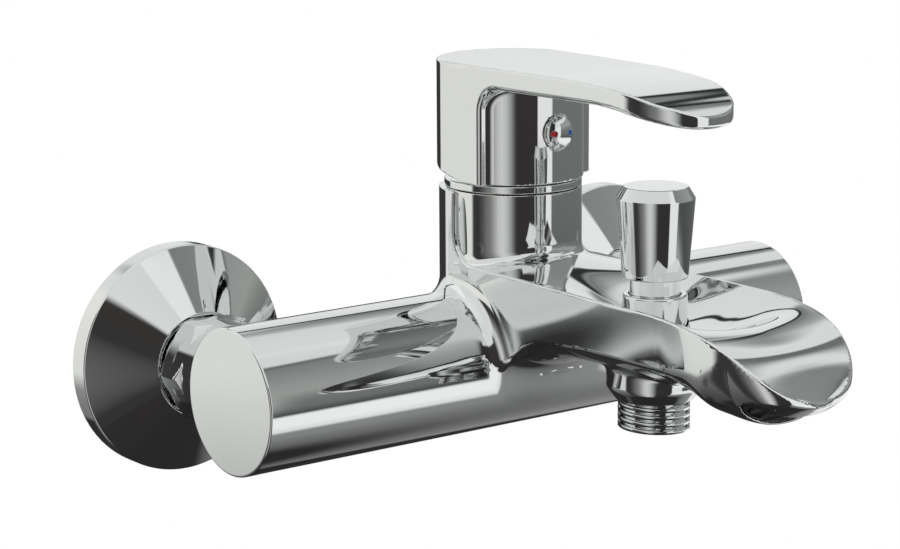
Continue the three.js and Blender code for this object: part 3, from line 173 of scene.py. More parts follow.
def curve(pairs):
    """A smooth curve through pairs of distance and value, without overshoot."""
    at = np.array([pair[0] for pair in pairs], float)
    value = np.array([pair[1] for pair in pairs], float)
    slope = np.diff(value) / np.diff(at)
    tangent = np.empty(len(at))
    tangent[0], tangent[-1] = slope[0], slope[-1]
    before, after = slope[:-1], slope[1:]
    same = before * after > 0
    tangent[1:-1] = np.where(same, 2 * before * after / np.where(same, before + after, 1), 0)

    def read(where):
        where = np.clip(where, at[0], at[-1])
        i = np.clip(np.searchsorted(at, where, side="right") - 1, 0, len(at) - 2)
        span = at[i + 1] - at[i]
        t = (where - at[i]) / span
        rise = value[i + 1] - value[i]
        m0, m1 = tangent[i] * span, tangent[i + 1] * span
        return value[i] + t * (m0 + t * ((3 * rise - 2 * m0 - m1) + t * (m0 + m1 - 2 * rise)))

    return read


def supple(pairs):
    """A curve through pairs of distance and value whose bend changes nowhere by a jump."""
    at = np.array([pair[0] for pair in pairs], float)
    value = np.array([pair[1] for pair in pairs], float)
    span, slope = np.diff(at), np.diff(value) / np.diff(at)
    count = len(at)
    system, known = np.eye(count), np.zeros(count)
    for i in range(1, count - 1):
        system[i, i - 1:i + 2] = span[i - 1], 2 * (span[i - 1] + span[i]), span[i]
        known[i] = 6 * (slope[i] - slope[i - 1])
    bend = np.linalg.solve(system, known)

    def read(where):
        where = np.clip(where, at[0], at[-1])
        i = np.clip(np.searchsorted(at, where, side="right") - 1, 0, count - 2)
        before, after = where - at[i], at[i + 1] - where
        ends = (bend[i] * after**3 + bend[i + 1] * before**3) / (6 * span[i])
        low = (value[i] / span[i] - bend[i] * span[i] / 6) * after
        high = (value[i + 1] / span[i] - bend[i + 1] * span[i] / 6) * before
        return ends + low + high

    return read


# ---- Skins: a closed mesh where a field is zero ----


def lines(*stretches):
    """Grid lines through stretches of (start, end, spacing), each starting where the last ended."""
    made = [np.array([stretches[0][0]])]
    for start, end, spacing in stretches:
        count = max(1, round((end - start) / spacing))
        made.append(np.linspace(start, end, count + 1)[1:])
    return np.concatenate(made)


def lattice_values(field, grid, block=5):
    """The field on a lattice, worked out in full only in the blocks that its zero may cross."""
    shape = tuple(len(line) for line in grid)
    middles, halves, owners = [], [], []
    for line in grid:
        starts = np.arange(0, len(line), block)
        ends = np.minimum(starts + block, len(line) - 1)
        middles.append((line[starts] + line[ends]) / 2)
        halves.append((line[ends] - line[starts]) / 2)
        owners.append(np.arange(len(line)) // block)
    mx, my, mz = np.meshgrid(*middles, indexing="ij")
    hx, hy, hz = np.meshgrid(*halves, indexing="ij")
    rough = field(mx.ravel(), my.ravel(), mz.ravel()).reshape(mx.shape)
    near = np.abs(rough) < 1.6 * np.sqrt(hx**2 + hy**2 + hz**2) + 0.5
    pick = np.ix_(*owners)
    values = rough[pick].astype(float)
    i, j, k = np.nonzero(near[pick])
    values[i, j, k] = in_batches(field, grid[0][i], grid[1][j], grid[2][k])
    return values.reshape(shape)


def in_batches(field, x, y, z, size=400000):
    parts = [field(x[s:s + size], y[s:s + size], z[s:s + size]) for s in range(0, len(x), size)]
    return np.concatenate(parts)


def gradient(field, points, step=0.03):
    columns = []
    for axis in range(3):
        move = np.zeros(3)
        move[axis] = step
        ahead, behind = points + move, points - move
        columns.append((field(*ahead.T) - field(*behind.T)) / (2 * step))
    return np.stack(columns, 1)


SETTLE_REACH = 0.4  # how far an added vertex may move to the surface
SHARP_TURN = 0.9  # cosine between a quad's middle and corner normals, below which it is cut


def skin(field, grid, rounds=4):
    """Vertices, faces and normals of the surface where the field is zero."""
    values = lattice_values(field, grid)
    inside = values < 0
    cells = tuple(n - 1 for n in values.shape)
    offsets = [(a, b, c) for a in (0, 1) for b in (0, 1) for c in (0, 1)]
    count = np.zeros(cells, np.int8)
    for a, b, c in offsets:
        count += inside[a:a + cells[0], b:b + cells[1], c:c + cells[2]]
    i, j, k = np.nonzero((count > 0) & (count < 8))
    number = np.full(cells, -1, np.int64)
    number[i, j, k] = np.arange(len(i))

    total = np.zeros((len(i), 3))
    hits = np.zeros(len(i))
    for first in offsets:
        for axis in range(3):
            if first[axis]:
                continue
            second = tuple(1 if n == axis else first[n] for n in range(3))
            p = [i + first[0], j + first[1], k + first[2]]
            q = [i + second[0], j + second[1], k + second[2]]
            f0, f1 = values[tuple(p)], values[tuple(q)]
            crossed = (f0 < 0) != (f1 < 0)
            t = np.where(crossed, f0 / np.where(crossed, f0 - f1, 1), 0)
            for n in range(3):
                here = grid[n][p[n]] + t * (grid[n][q[n]] - grid[n][p[n]])
                total[:, n] += np.where(crossed, here, 0)
            hits += crossed
    points = total / hits[:, None]

    quads = []
    for axis in range(3):
        u, v = (axis + 1) % 3, (axis + 2) % 3
        low = [slice(None)] * 3
        high = [slice(None)] * 3
        low[axis], high[axis] = slice(0, -1), slice(1, None)
        for n in (u, v):
            low[n] = high[n] = slice(1, -1)
        s0, s1 = inside[tuple(low)], inside[tuple(high)]
        for flip, crossing in ((False, s0 & ~s1), (True, ~s0 & s1)):
            where = [w.copy() for w in np.nonzero(crossing)]
            where[u] += 1
            where[v] += 1
            ring = []
            for du, dv in ((-1, -1), (0, -1), (0, 0), (-1, 0)):
                at = list(where)
                at[u] = where[u] + du
                at[v] = where[v] + dv
                ring.append(number[tuple(at)])
            quad = np.stack(ring, 1)
            quads.append(quad[:, ::-1] if flip else quad)
    quads = np.concatenate(quads)

    spacing = [np.diff(line) for line in grid]
    reach = 0.5 * np.stack([spacing[0][i], spacing[1][j], spacing[2][k]], 1)
    points, normals = settled(field, points, reach, rounds)
    return refined(field, points, normals, quads)


def settled(field, points, reach, rounds=4):
    """The points moved onto the surface where the field is zero, and the normals there."""
    for _ in range(rounds):
        slope = gradient(field, points)
        size = np.maximum((slope**2).sum(1), 0.1)
        move = -(field(*points.T) / size)[:, None] * slope
        points = points + np.clip(move, -reach, reach)
    slope = gradient(field, points)
    return points, slope / np.maximum(np.linalg.norm(slope, axis=1), 1e-9)[:, None]


def refined(field, points, normals, quads):
    """Vertices, faces and normals with each quad that turns sharply cut into four.
    A flat quad beside a cut one takes in the vertex on their shared edge, so the skin stays closed."""
    count = len(points)
    corners = normals[quads]
    middle = corners.sum(1)
    middle /= np.maximum(np.linalg.norm(middle, axis=1), 1e-9)[:, None]
    sharp = (corners * middle[:, None]).sum(2).min(1) < SHARP_TURN
    after = np.roll(quads, -1, axis=1)
    keys = np.minimum(quads, after) * count + np.maximum(quads, after)
    cut = np.unique(keys[sharp])
    if not len(cut):
        return points, quads.tolist(), normals
    halves = (points[cut // count] + points[cut % count]) / 2
    centres = points[quads[sharp]].mean(1)
    added, added_normals = settled(field, np.concatenate([halves, centres]), SETTLE_REACH)
    at = np.minimum(np.searchsorted(cut, keys), len(cut) - 1)
    half = np.where(cut[at] == keys, at + count, -1)
    big, mid = quads[sharp], half[sharp]
    centre = np.arange(len(big)) + count + len(cut)
    small = [np.stack([big[:, n], mid[:, n], centre, mid[:, n - 1]], 1) for n in range(4)]
    rest, rest_half = quads[~sharp], half[~sharp]
    whole = (rest_half < 0).all(1)
    faces = np.concatenate(small + [rest[whole]]).tolist()
    for face, between in zip(rest[~whole].tolist(), rest_half[~whole].tolist()):
        faces.append([n for pair in zip(face, between) for n in pair if n >= 0])
    return np.concatenate([points, added]), faces, np.concatenate([normals, added_normals])


def to_frame(points):
    """Millimetres from the tube's axis, as metres from the wall face."""
    points = np.asarray(points, float).reshape(-1, 3)
    return (points + [0, AXIS_Y, 0]) * MM


def linked(name, data):
    made = bpy.data.objects.new(name, data)
    bpy.context.scene.collection.objects.link(made)
    return made


def stand_in(solid, body, points, faces, normals, slot="chrome"):
    """A smooth piece with its own normals, which rides on the body and stands for the solid."""
    name = f"{solid}_skin"
    mesh = bpy.data.meshes.new(name)
    mesh.from_pydata(to_frame(points).tolist(), [], [list(map(int, face)) for face in faces])
    mesh.polygons.foreach_set("use_smooth", [True] * len(mesh.polygons))
    mesh.materials.append(finish_of(slot))
    mesh.update()
    mesh.normals_split_custom_set_from_vertices(np.asarray(normals).tolist())
    piece = linked(name, mesh)
    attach(piece, body)
    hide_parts(solid)
    return piece


# ---- Turned pieces ----


def rounded_outline(corners, closed, steps=4):
    """Points and outward normals along an outline of (radius, height, corner radius)."""
    count = len(corners)
    flat = [np.array(c[:2], float) for c in corners]
    points, normals = [], []

    def side(direction):
        return np.array([direction[1], -direction[0]])

    for i in range(count):
        here = flat[i]
        ahead = flat[(i + 1) % count] - here
        behind = here - flat[i - 1]
        if not closed and i in (0, count - 1):
            direction = ahead if i == 0 else behind
            points.append(here)
            normals.append(side(direction / np.linalg.norm(direction)))
            continue
        a = behind / np.linalg.norm(behind)
        b = ahead / np.linalg.norm(ahead)
        turn = math.atan2(a[0] * b[1] - a[1] * b[0], float(a @ b))
        if abs(turn) < 1e-4:
            points.append(here)
            normals.append(side(a))
            continue
        radius = corners[i][2] if len(corners[i]) > 2 else 0.12
        run = radius * math.tan(abs(turn) / 2)
        limit = 0.45 * min(np.linalg.norm(behind), np.linalg.norm(ahead))
        if run > limit:
            radius *= limit / run
            run = limit
        start = here - a * run
        bend = 1 if turn > 0 else -1
        centre = start + bend * radius * np.array([-a[1], a[0]])
        arms = max(2, round(steps * abs(turn) / (math.pi / 2)) + 1)
        for n in range(arms + 1):
            angle = turn * n / arms
            c, s = math.cos(angle), math.sin(angle)
            direction = np.array([a[0] * c - a[1] * s, a[0] * s + a[1] * c])
            normal = side(direction)
            points.append(centre + bend * radius * normal)
            normals.append(normal)
    return np.array(points), np.array(normals)


AXES = {  # for each axis of turning: where the radius points at zero turn, at a quarter turn, and the axis
    "x": np.array([[0, 1, 0], [0, 0, 1], [1, 0, 0]], float),
    "y": np.array([[0, 0, 1], [1, 0, 0], [0, 1, 0]], float),
    "z": np.array([[1, 0, 0], [0, 1, 0], [0, 0, 1]], float),
}


def turned(corners, axis, centre, sides=96, closed=False):
    """Vertices, faces and normals of an outline turned about an axis.
    The outline runs with the material on its left, from the axis to the axis or round to its start."""
    outline, across = rounded_outline(corners, closed)
    first, second, along = AXES[axis]
    angles = np.linspace(0, 2 * math.pi, sides, endpoint=False)
    spoke = np.cos(angles)[:, None] * first + np.sin(angles)[:, None] * second
    points, normals, faces = [], [], []
    rows = []
    for (radius, height), (nr, nh) in zip(outline, across):
        if radius < 1e-6:
            rows.append([len(points)])
            points.append(np.array(centre) + height * along)
            normals.append(along * (1 if nh > 0 else -1))
            continue
        rows.append(list(range(len(points), len(points) + sides)))
        points.extend(np.array(centre) + radius * spoke + height * along)
        normals.extend(nr * spoke + nh * along)
    for low, high in zip(rows, rows[1:] + (rows[:1] if closed else [])):
        for n in range(sides):
            m = (n + 1) % sides
            if len(low) == len(high) == 1:
                continue
            if len(low) == 1:
                faces.append((low[0], high[m], high[n]))
            elif len(high) == 1:
                faces.append((low[n], low[m], high[0]))
            else:
                faces.append((low[n], low[m], high[m], high[n]))
    return np.array(points), faces, np.array(normals)


# ---- Materials ----


def linear(value):
    """An sRGB hex colour as the four linear values that Blender's sockets take."""
    parts = [int(value[n:n + 2], 16) / 255 for n in (1, 3, 5)]
    return tuple([c / 12.92 if c <= 0.04045 else ((c + 0.055) / 1.055) ** 2.4 for c in parts] + [1.0])


def hexed(colour):
    """A colour property, which Blender keeps in linear light, as four values."""
    return (*colour[:3], 1.0)


def node(tree, kind, links=None, **settings):
    """Adds a node; plain settings are its attributes, and links maps an input to a value or a socket."""
    made = tree.nodes.new(kind)
    for key, value in settings.items():
        setattr(made, key, value)
    for key, value in (links or {}).items():
        if isinstance(value, bpy.types.NodeSocket):
            tree.links.new(value, made.inputs[key])
        else:
            made.inputs[key].default_value = value
    return made


def new_material(name):
    made = bpy.data.materials.new(name)
    made.use_nodes = True
    made.node_tree.nodes.clear()
    return made, made.node_tree


def ramp(tree, factor, stops):
    """A colour ramp with stops of position and sRGB hex colour."""
    made = node(tree, "ShaderNodeValToRGB", {"Fac": factor})
    elements = made.color_ramp.elements
    while len(elements) < len(stops):
        elements.new(0.5)
    for element, (position, colour) in zip(elements, stops):
        element.position = position
        element.color = linear(colour)
    return made.outputs["Color"]


# For each slot: the finish, its two close colours, metallic, roughness from and to, grain and
# relief in millimetres, and the index of refraction where the surface is not a metal
FINISHES = {
    # Chromium plate on polished brass, almost mirror-clean; a faint broad unevenness from hand
    # polishing bends the reflections a little
    "chrome": ("polished_chrome_plate", ("#e2e4e4", "#ebedec"), 1.0, (0.025, 0.05), 9.0, 0.0006, None),
    # Yellow and slightly dulled, with fine tool marks
    "brass": ("turned_brass", ("#b8934a", "#cbab63"), 1.0, (0.26, 0.4), 0.5, 0.004, None),
    # Spring steel, drawn and lightly brushed
    "steel": ("drawn_stainless_steel", ("#a8abad", "#bfc2c4"), 1.0, (0.22, 0.36), 0.4, 0.003, None),
    # Near black and matt, with a slight bloom
    "rubber": ("moulded_nitrile_rubber", ("#19191b", "#242426"), 0.0, (0.62, 0.8), 0.3, 0.01, 1.52),
    # Glass-filled, an off-white that scatters light softly
    "housing_plastic": ("moulded_acetal", ("#d2d1ca", "#dddcd5"), 0.0, (0.4, 0.52), 0.6, 0.006, 1.48),
    # Dyed black, with a fine spark-eroded texture
    "dark_plastic": ("black_moulded_acetal", ("#151617", "#202223"), 0.0, (0.38, 0.5), 0.4, 0.008, 1.48),
    # Dense white, with a silky gloss
    "ceramic": ("lapped_alumina_ceramic", ("#eae8df", "#f3f2ec"), 0.0, (0.14, 0.24), 0.5, 0.001, 1.77),
    # Enamel in a small pit: glossy, with a slight pool of deeper colour
    "red_enamel": ("red_stoved_enamel", ("#a81414", "#bf1d1a"), 0.0, (0.16, 0.26), 0.2, 0.002, 1.5),
    "blue_enamel": ("blue_stoved_enamel", ("#2a60b2", "#3a74c8"), 0.0, (0.16, 0.26), 0.2, 0.002, 1.5),
}
BROAD_PATCH = 12  # how many grains wide a patch of one colour is
MADE_FINISHES = {}


def finish_of(slot):
    """The slot's material: two close colours, a spread of roughness and a fine relief at real scale."""
    if slot in MADE_FINISHES:
        return MADE_FINISHES[slot]
    name, colours, metallic, roughness, grain, relief, ior = FINISHES[slot]
    made, tree = new_material(name)
    at = node(tree, "ShaderNodeTexCoord").outputs["Object"]
    broad = node(tree, "ShaderNodeTexNoise", {
        "Vector": at, "Scale": 1 / (BROAD_PATCH * grain * MM), "Detail": 2.0,
    })
    fine = node(tree, "ShaderNodeTexNoise", {"Vector": at, "Scale": 1 / (grain * MM), "Detail": 3.0})
    colour = ramp(tree, broad.outputs["Fac"], [(0.3, colours[0]), (0.7, colours[1])])
    spread = node(tree, "ShaderNodeMapRange", {
        "Value": fine.outputs["Fac"], "From Min": 0.3, "From Max": 0.7,
        "To Min": roughness[0], "To Max": roughness[1],
    })
    bump = node(tree, "ShaderNodeBump", {
        "Height": fine.outputs["Fac"], "Strength": 1.0, "Distance": relief * MM,
    })
    shader = node(tree, "ShaderNodeBsdfPrincipled", {
        "Base Color": colour, "Metallic": metallic, "Roughness": spread.outputs["Result"],
        "Normal": bump.outputs["Normal"],
    })
    if ior:
        shader.inputs["IOR"].default_value = ior
    node(tree, "ShaderNodeOutputMaterial", {"Surface": shader.outputs["BSDF"]})
    MADE_FINISHES[slot] = made
    return made


# ---- Body casting ----
TIP_START = 90.0  # where the spout's plan starts to round in
TIP_HALF_WIDTH = 23.5
RIM_FLAT = 0.9
RIM_ROUND = 0.5
SIDE_LEAN = 0.06
BOWL = (92, 106)  # along this stretch the underside turns from a shallow vault to a bowl
DISH_POWER = 1.7
COLLAR_BACK_R = 22.2
COLLAR_SIDE = 21.9
COLLAR_FRONT_R = 20.6
COLLAR_PANEL_EDGE = 1.0
COLLAR_FLARE = 9.0
SPOUT_RIM = 30.0
STUB_R = 11.5
STUB_BORE_R = 8.5
STUB_FILLET = 1.5
TUBE_FILLET = 6.0  # where collar and spout grow out of the tube
FRONT_FILLET = 2.6  # between the spout's dish and the collar's front
BOSS_FILLET = 1.6
RING_GROOVE = (STUB_REACH - 3.4, STUB_REACH - 1.4)  # holds the union nut's snap ring
RING_DEPTH = 1.6
TUBE_BORE_R = 18.6
BORE_START = 34.0
BOSS_R = 13.7
BOSS_FOOT_R = 11.0
BOSS_FOOT = -1.5
BOSS_CHAMFER_TOP = 2.2
CARTRIDGE_R = 17.5
POCKET_FLOOR = 16.0
NUT_THREAD_R = 18.9
NUT_BAY = 8.4
OUTLET_Y = -122.5
OUTLET_Z = 4.8
OUTLET_TILT = 25.5
OUTLET_HALF = 17.0
OUTLET_WIDTH = 9.0
OUTLET_DEPTH = 4.1

rim_height = curve([
    (0, SPOUT_RIM), (85, SPOUT_RIM), (93, 29.7), (101, 28.8), (108.7, 27.1),
    (116.4, 24), (124.2, 18.7), (128.5, 14.6), (SPOUT_TIP, 11.4),
])
dish_depth = supple([
    (0, -5), (20, -3), (45, 3), (64, 10.6), (80, 9.8), (95, 6.8), (105, 1.9), (113, 1), (121, 0.1),
    (127, 0.7), (SPOUT_TIP, 1.2),
])
crease_height = curve([
    (0, -14), (19, 1), (27, 7.6), (32, 11.2), (38, 13.2), (48, 14.2), (62, 15.2), (90, 15.6),
    (100, 15), (107, 13.4), (111, 16), (115, 18.6), (119, 21.4), (122, 22),
])
belly_height = curve([
    (0, -16), (16, -6), (26, 2), (40, 5), (60, 6), (100, 6), (108, 3.3), (116, 1.9), (124, 4.3),
    (SPOUT_TIP, 9.2),
])
side_width = curve([(0, COLLAR_SIDE), (10, COLLAR_SIDE), (30, 22.2), (75, 23.6), (TIP_START, TIP_HALF_WIDTH)])


def tip_share(along):
    return np.clip((along - TIP_START) / (SPOUT_TIP - TIP_START), 0, 0.999)


def spout_width(along):
    return side_width(along) * (1 - tip_share(along) ** 3) ** (1 / 3)


def dish(x, y, z):
    """Above the spout's hollowed top."""
    along = -y
    width = np.maximum(spout_width(along) - RIM_FLAT, 1)
    share = np.minimum(np.abs(x) / width, 1)
    return z - rim_height(along) + dish_depth(along) * (1 - share**DISH_POWER)


def plan(x, y, z):
    """Outside the spout's outline seen from above; its sides lean in a little below the rim."""
    along = -y
    past = np.maximum(along - TIP_START, 0) / (SPOUT_TIP - TIP_START)
    lean = SIDE_LEAN * smooth_step(along, 2, 22) * (1 - bowl_share(along))
    beside = np.abs(x) / (side_width(along) - lean * np.maximum(rim_height(along) - z, 0))
    return 8 * (beside**3 + past**3 - 1)


def bowl_share(along):
    """Nought where the underside is a shallow vault, one where it is a bowl."""
    return smooth_step(along, *BOWL)


def crease(along):
    """Where the spout's sides end and its underside starts; round the tip that is at the rim."""
    bowl = bowl_share(along)
    highest = rim_height(along) - 0.4 * (1 - bowl)
    return np.clip(crease_height(along) + 4 * bowl, belly_height(along) + 0.3, highest)


def hull(x, y, z):
    """Outside the spout's underside, which rounds off to a bowl towards the tip."""
    along = -y
    bowl = bowl_share(along)
    width = np.maximum(spout_width(along), 1)
    edge = crease(along)
    deep = np.maximum(edge - z, 0) / np.maximum(edge - belly_height(along), 0.3)
    return 8 * ((np.abs(x) / width) ** (2 + 0.4 * bowl) + deep ** (1 + 1.2 * bowl) - 1)


def spout(x, y, z):
    top = evened(dish, x, y, z)
    side = evened(plan, x, y, z)
    under = np.minimum(evened(hull, x, y, z), crease(-y) - z)
    outer = rounded_common(side, under, 0.9 - 0.85 * bowl_share(-y))
    return rounded_common(top, outer, RIM_ROUND), under


def with_collar(shell, x, y, z):
    """The spout's shell with the collar on it: a round front between two side panels."""
    radius = np.hypot(x, y)
    rim = SPOUT_RIM
    notch = quarter(y - COLLAR_PANEL_EDGE, rim - z, COLLAR_FLARE)
    rear = np.maximum(radius - COLLAR_BACK_R, np.abs(x) - COLLAR_SIDE)
    wing = np.maximum(slab(np.abs(x), 17, COLLAR_SIDE), slab(y, -COLLAR_FLARE, COLLAR_PANEL_EDGE + 1))
    wing = np.maximum(wing, rim - 2 - z)
    above = z - COLLAR_TOP
    panels = rounded_common(rounded_cut(np.minimum(rear, wing), notch, 0.7), above, 0.35)
    front = rounded_common(radius - COLLAR_FRONT_R, above, 0.35)
    panels, front = np.maximum(panels, -z), np.maximum(front, -z)
    return np.minimum(rounded_union(panels, front, 0.6), rounded_union(shell, front, FRONT_FILLET))


def outlet_slot(x, y, z, under):
    """The slot in the spout's underside that holds the aerator."""
    lean = math.radians(OUTLET_TILT)
    ahead = (y - OUTLET_Y) * math.cos(lean) - (z - OUTLET_Z) * math.sin(lean)
    reach = np.maximum(np.abs(x) - (OUTLET_HALF - OUTLET_WIDTH / 2), 0)
    slot = np.hypot(reach, ahead) - OUTLET_WIDTH / 2
    return np.maximum(slot, -OUTLET_DEPTH - under)


def spout_and_collar(x, y, z):
    """The upper part of the casting, near the middle only."""
    shell, under = spout(x, y, z)
    upper = with_collar(np.maximum(shell, y), x, y, z)
    from_boss = np.hypot(x, y - DIVERTER_Y)
    slope = (BOSS_R - BOSS_FOOT_R) / (BOSS_CHAMFER_TOP - BOSS_FOOT)
    cone = (from_boss - BOSS_FOOT_R - slope * (z - BOSS_FOOT)) / math.hypot(1, slope)
    boss = rounded_common(rounded_common(from_boss - BOSS_R, cone, 0.5), BOSS_FOOT - z, 0.3)
    boss = np.maximum(boss, z - 12)
    upper = rounded_union(upper, boss, BOSS_FILLET)
    return upper, under


def casting(x, y, z):
    tube = rounded_common(np.hypot(y, z) - TUBE_R, np.abs(x) - TUBE_HALF, 0.25)
    stub_x = np.abs(x) - INLET_X
    from_stub = np.hypot(stub_x, z)
    stub = np.maximum(rounded_common(from_stub - STUB_R, y - STUB_REACH, 0.3), -y)
    body = rounded_union(tube, stub, STUB_FILLET)
    whole = body
    close = (np.abs(x) < 40) & (y < 30) & (z > -24)
    if close.any():
        at = [v[close] for v in (x, y, z)]
        upper, under = spout_and_collar(*at)
        joined = rounded_union(body[close], upper, TUBE_FILLET)
        from_axis = np.hypot(at[0], at[1])
        pocket = np.maximum(from_axis - CARTRIDGE_R - CLEAR, POCKET_FLOOR - at[2])
        bay = np.maximum(from_axis - NUT_THREAD_R - CLEAR, COLLAR_TOP - NUT_BAY - at[2])
        joined = rounded_cut(joined, np.minimum(pocket, bay), 0.3)
        joined = rounded_cut(joined, outlet_slot(*at, under), 0.35)
        from_boss = np.hypot(at[0], at[1] - DIVERTER_Y)
        for radius, low, high in DIVERTER_BORES:
            bore = np.maximum(from_boss - radius, slab(at[2], low, high))
            joined = np.maximum(joined, -bore)
        whole = whole.copy()
        whole[close] = joined
    side_bore = np.maximum(np.hypot(y, z) - TUBE_BORE_R, BORE_START - np.abs(x))
    stub_bore = np.maximum(from_stub - STUB_BORE_R, -y)
    groove = np.maximum(slab(from_stub, STUB_R - RING_DEPTH, STUB_R + 2), slab(y, *RING_GROOVE))
    tool = np.minimum(np.minimum(side_bore, stub_bore), groove)
    return np.maximum(whole, -tool)


DIVERTER_BORES = [  # radius, from, to
    (8.7, BOSS_FOOT - 5, 2.5),
    (7.2, 1.5, 14.5),
    (8.3, 13.5, 19),
    (9.55, 18, 40),
]


def casting_grid(fine):
    across = lines(
        (-99.5, -71, 1.6), (-71, -36, 4), (-36, -24.5, 1.2), (-24.5, -17, 0.6 * fine),
        (-17, 17, 1.0), (17, 24.5, 0.6 * fine), (24.5, 36, 1.2), (36, 71, 4),
        (71, 99.5, 1.6),
    )
    along = lines(
        (-SPOUT_TIP - 1.2, -104, 0.6 * fine), (-104, -74, 1.15 * fine), (-74, -54, fine),
        (-54, -24, 1.2 * fine), (-24, -17, 0.66), (-17, -8, 0.9),
        (-8, 8, 1.4), (8, 20, 1.0),
        (20, 24, 0.8 * fine), (24, STUB_REACH + 0.8, 0.8),
    )
    up = lines(
        (-22.2, -3, 1.3), (-3, 26, 0.9 * fine), (26, 31, 0.6 * fine), (31, 49, 1.6 * fine),
        (49, 52.2, 0.6),
    )
    return across, along, up


# ---- Handle ----
HANDLE_BACK_R = 22.75
HANDLE_SIDE = 21.5
HANDLE_FRONT_R = 21.0
HANDLE_PANEL_EDGE = -10.8
HANDLE_CORNER = 7.0
HANDLE_WALL_R = 19.3
HANDLE_ROOF = 5.0
FOOT_LEAN = math.radians(12.4)  # the skirt's foot rises behind, which leaves room for the tilt
FOOT_HEEL = 3.0
SPINDLE_BOSS_R = 9.5
SPINDLE_BOSS_FOOT = 62.0
SOCKET_HALF = 4.3
SOCKET_HEIGHTS = (55, 76.3)
SCREW_BRIDGE_R = 4.9
SCREW_BORES = [  # radius and inner end: for the set screw, the button's rim and the button's plug
    (2.8, 0), (5.25, -HANDLE_FRONT_R + 0.3), (3.7, -HANDLE_FRONT_R + 3),
]
OUT_OF_HANDLE = 30.0
LEVER_TIP_START = 58.0
lever_top = curve([(-30, 89.5), (42, 89.5), (62, 88.6), (72, 87.3), (79, 85.4), (84, 84), (LEVER_TIP, 82)])
lever_under = curve([
    (-30, 83.2), (58, 83.2), (66, 82.6), (72, 81.4), (80, 79.8), (85, 78.7), (LEVER_TIP, 78),
])
lever_width = curve([
    (0, HANDLE_SIDE), (22, 20.95), (40, 20.1), (LEVER_TIP_START, 18.75), (70, 18.2), (LEVER_TIP, 17.6),
])


def lever_plan(x, y, z):
    past = np.maximum(-y - LEVER_TIP_START, 0) / (LEVER_TIP - LEVER_TIP_START)
    beside = np.abs(x) / lever_width(-y)
    return 8 * (beside**2.3 + past**2.5 - 1)


def lever_roof(x, y, z):
    return z - lever_top(-y)


def lever_floor(x, y, z):
    return lever_under(-y) - z


def handle(x, y, z):
    radius = np.hypot(x, y)
    rear = np.maximum(radius - HANDLE_BACK_R, np.abs(x) - HANDLE_SIDE)
    outline = np.where(y > 0, rear, evened(lever_plan, x, y, z))
    roof = evened(lever_roof, x, y, z)
    floor = evened(lever_floor, x, y, z)
    under = lever_under(-y)
    notch = quarter(y - HANDLE_PANEL_EDGE, z - under, HANDLE_CORNER)
    plate = rounded_common(outline, roof, 0.6)
    leaf = rounded_cut(plate, notch, 1.6)
    front = np.maximum(radius - HANDLE_FRONT_R, z - HANDLE_TOP + 2)
    whole = rounded_union(leaf, front, 1.6)
    foot = HANDLE_FOOT + np.maximum(y + FOOT_HEEL, 0) * math.tan(FOOT_LEAN)
    whole = rounded_common(whole, (foot - z) * math.cos(FOOT_LEAN), 0.3)
    ceiling = HANDLE_TOP - HANDLE_ROOF
    cavity = np.maximum(radius - HANDLE_WALL_R, z - ceiling)
    boss = np.maximum(radius - SPINDLE_BOSS_R, SPINDLE_BOSS_FOOT - z)
    from_screw = np.hypot(x, z - BUTTON_Z)
    bridge = np.maximum(from_screw - SCREW_BRIDGE_R, slab(y, -HANDLE_FRONT_R, 0))
    cavity = np.maximum(cavity, -np.minimum(boss, bridge))
    socket = np.maximum(np.maximum(np.abs(x), np.abs(y)) - SOCKET_HALF, slab(z, *SOCKET_HEIGHTS))
    whole = rounded_cut(rounded_cut(whole, cavity, 0.2), socket, 0.2)
    for size, end in SCREW_BORES:
        bore = np.maximum(from_screw - size, slab(y, -OUT_OF_HANDLE, end))
        whole = rounded_cut(whole, bore, 0.2)
    return whole


def handle_grid(fine):
    across = lines((-23.4, 23.4, fine))
    along = lines((-LEVER_TIP - 0.9, -74, 0.9 * fine), (-74, -30, 1.4 * fine), (-30, 23.6, fine))
    up = lines((HANDLE_FOOT - 0.8, 76, 1.1 * fine), (76, HANDLE_TOP + 0.8, 0.85 * fine))
    return across, along, up


# ---- Union nuts and button ----
NUT_FLATS = 29.5
NUT_HEX_START = 31.8
NUT_COLLAR_R = 15.2
UNION_BORE_R = 13.6
NUT_SHOULDER = 25.3


def union_nut(x, y, z):
    """A hexagon with turned chamfers on a round collar, at the origin of X and Z."""
    flats = [abs_along(x, z, turn) - NUT_FLATS / 2 for turn in (30, 90, 150)]
    hexagon = rounded_common(rounded_common(flats[0], flats[1], 0.35), flats[2], 0.35)
    radius = np.hypot(x, z)
    corner = NUT_FLATS / math.sqrt(3)
    hex_end = NUT_HIGH[1]
    middle = (NUT_HEX_START + hex_end) / 2
    half = (hex_end - NUT_HEX_START) / 2
    chamfer = (radius - corner + 1.6 + np.abs(y - middle) - half) / math.sqrt(2)
    body = rounded_common(rounded_common(hexagon, np.abs(y - middle) - half, 0.3), chamfer, 0.3)
    ring = rounded_common(radius - NUT_COLLAR_R, slab(y, NUT_LOW[1], middle), 0.4)
    whole = rounded_union(body, ring, 0.3)
    bores = np.minimum(
        np.maximum(radius - STUB_R - CLEAR, y - middle),
        np.maximum(radius - UNION_BORE_R, NUT_SHOULDER - y),
    )
    return rounded_cut(whole, bores, 0.25)


def abs_along(x, z, degrees):
    angle = math.radians(degrees)
    return np.abs(x * math.cos(angle) + z * math.sin(angle))


BUTTON_R = 5.1
BUTTON_DOME = 2.4
DOT_SPREAD = 3.0


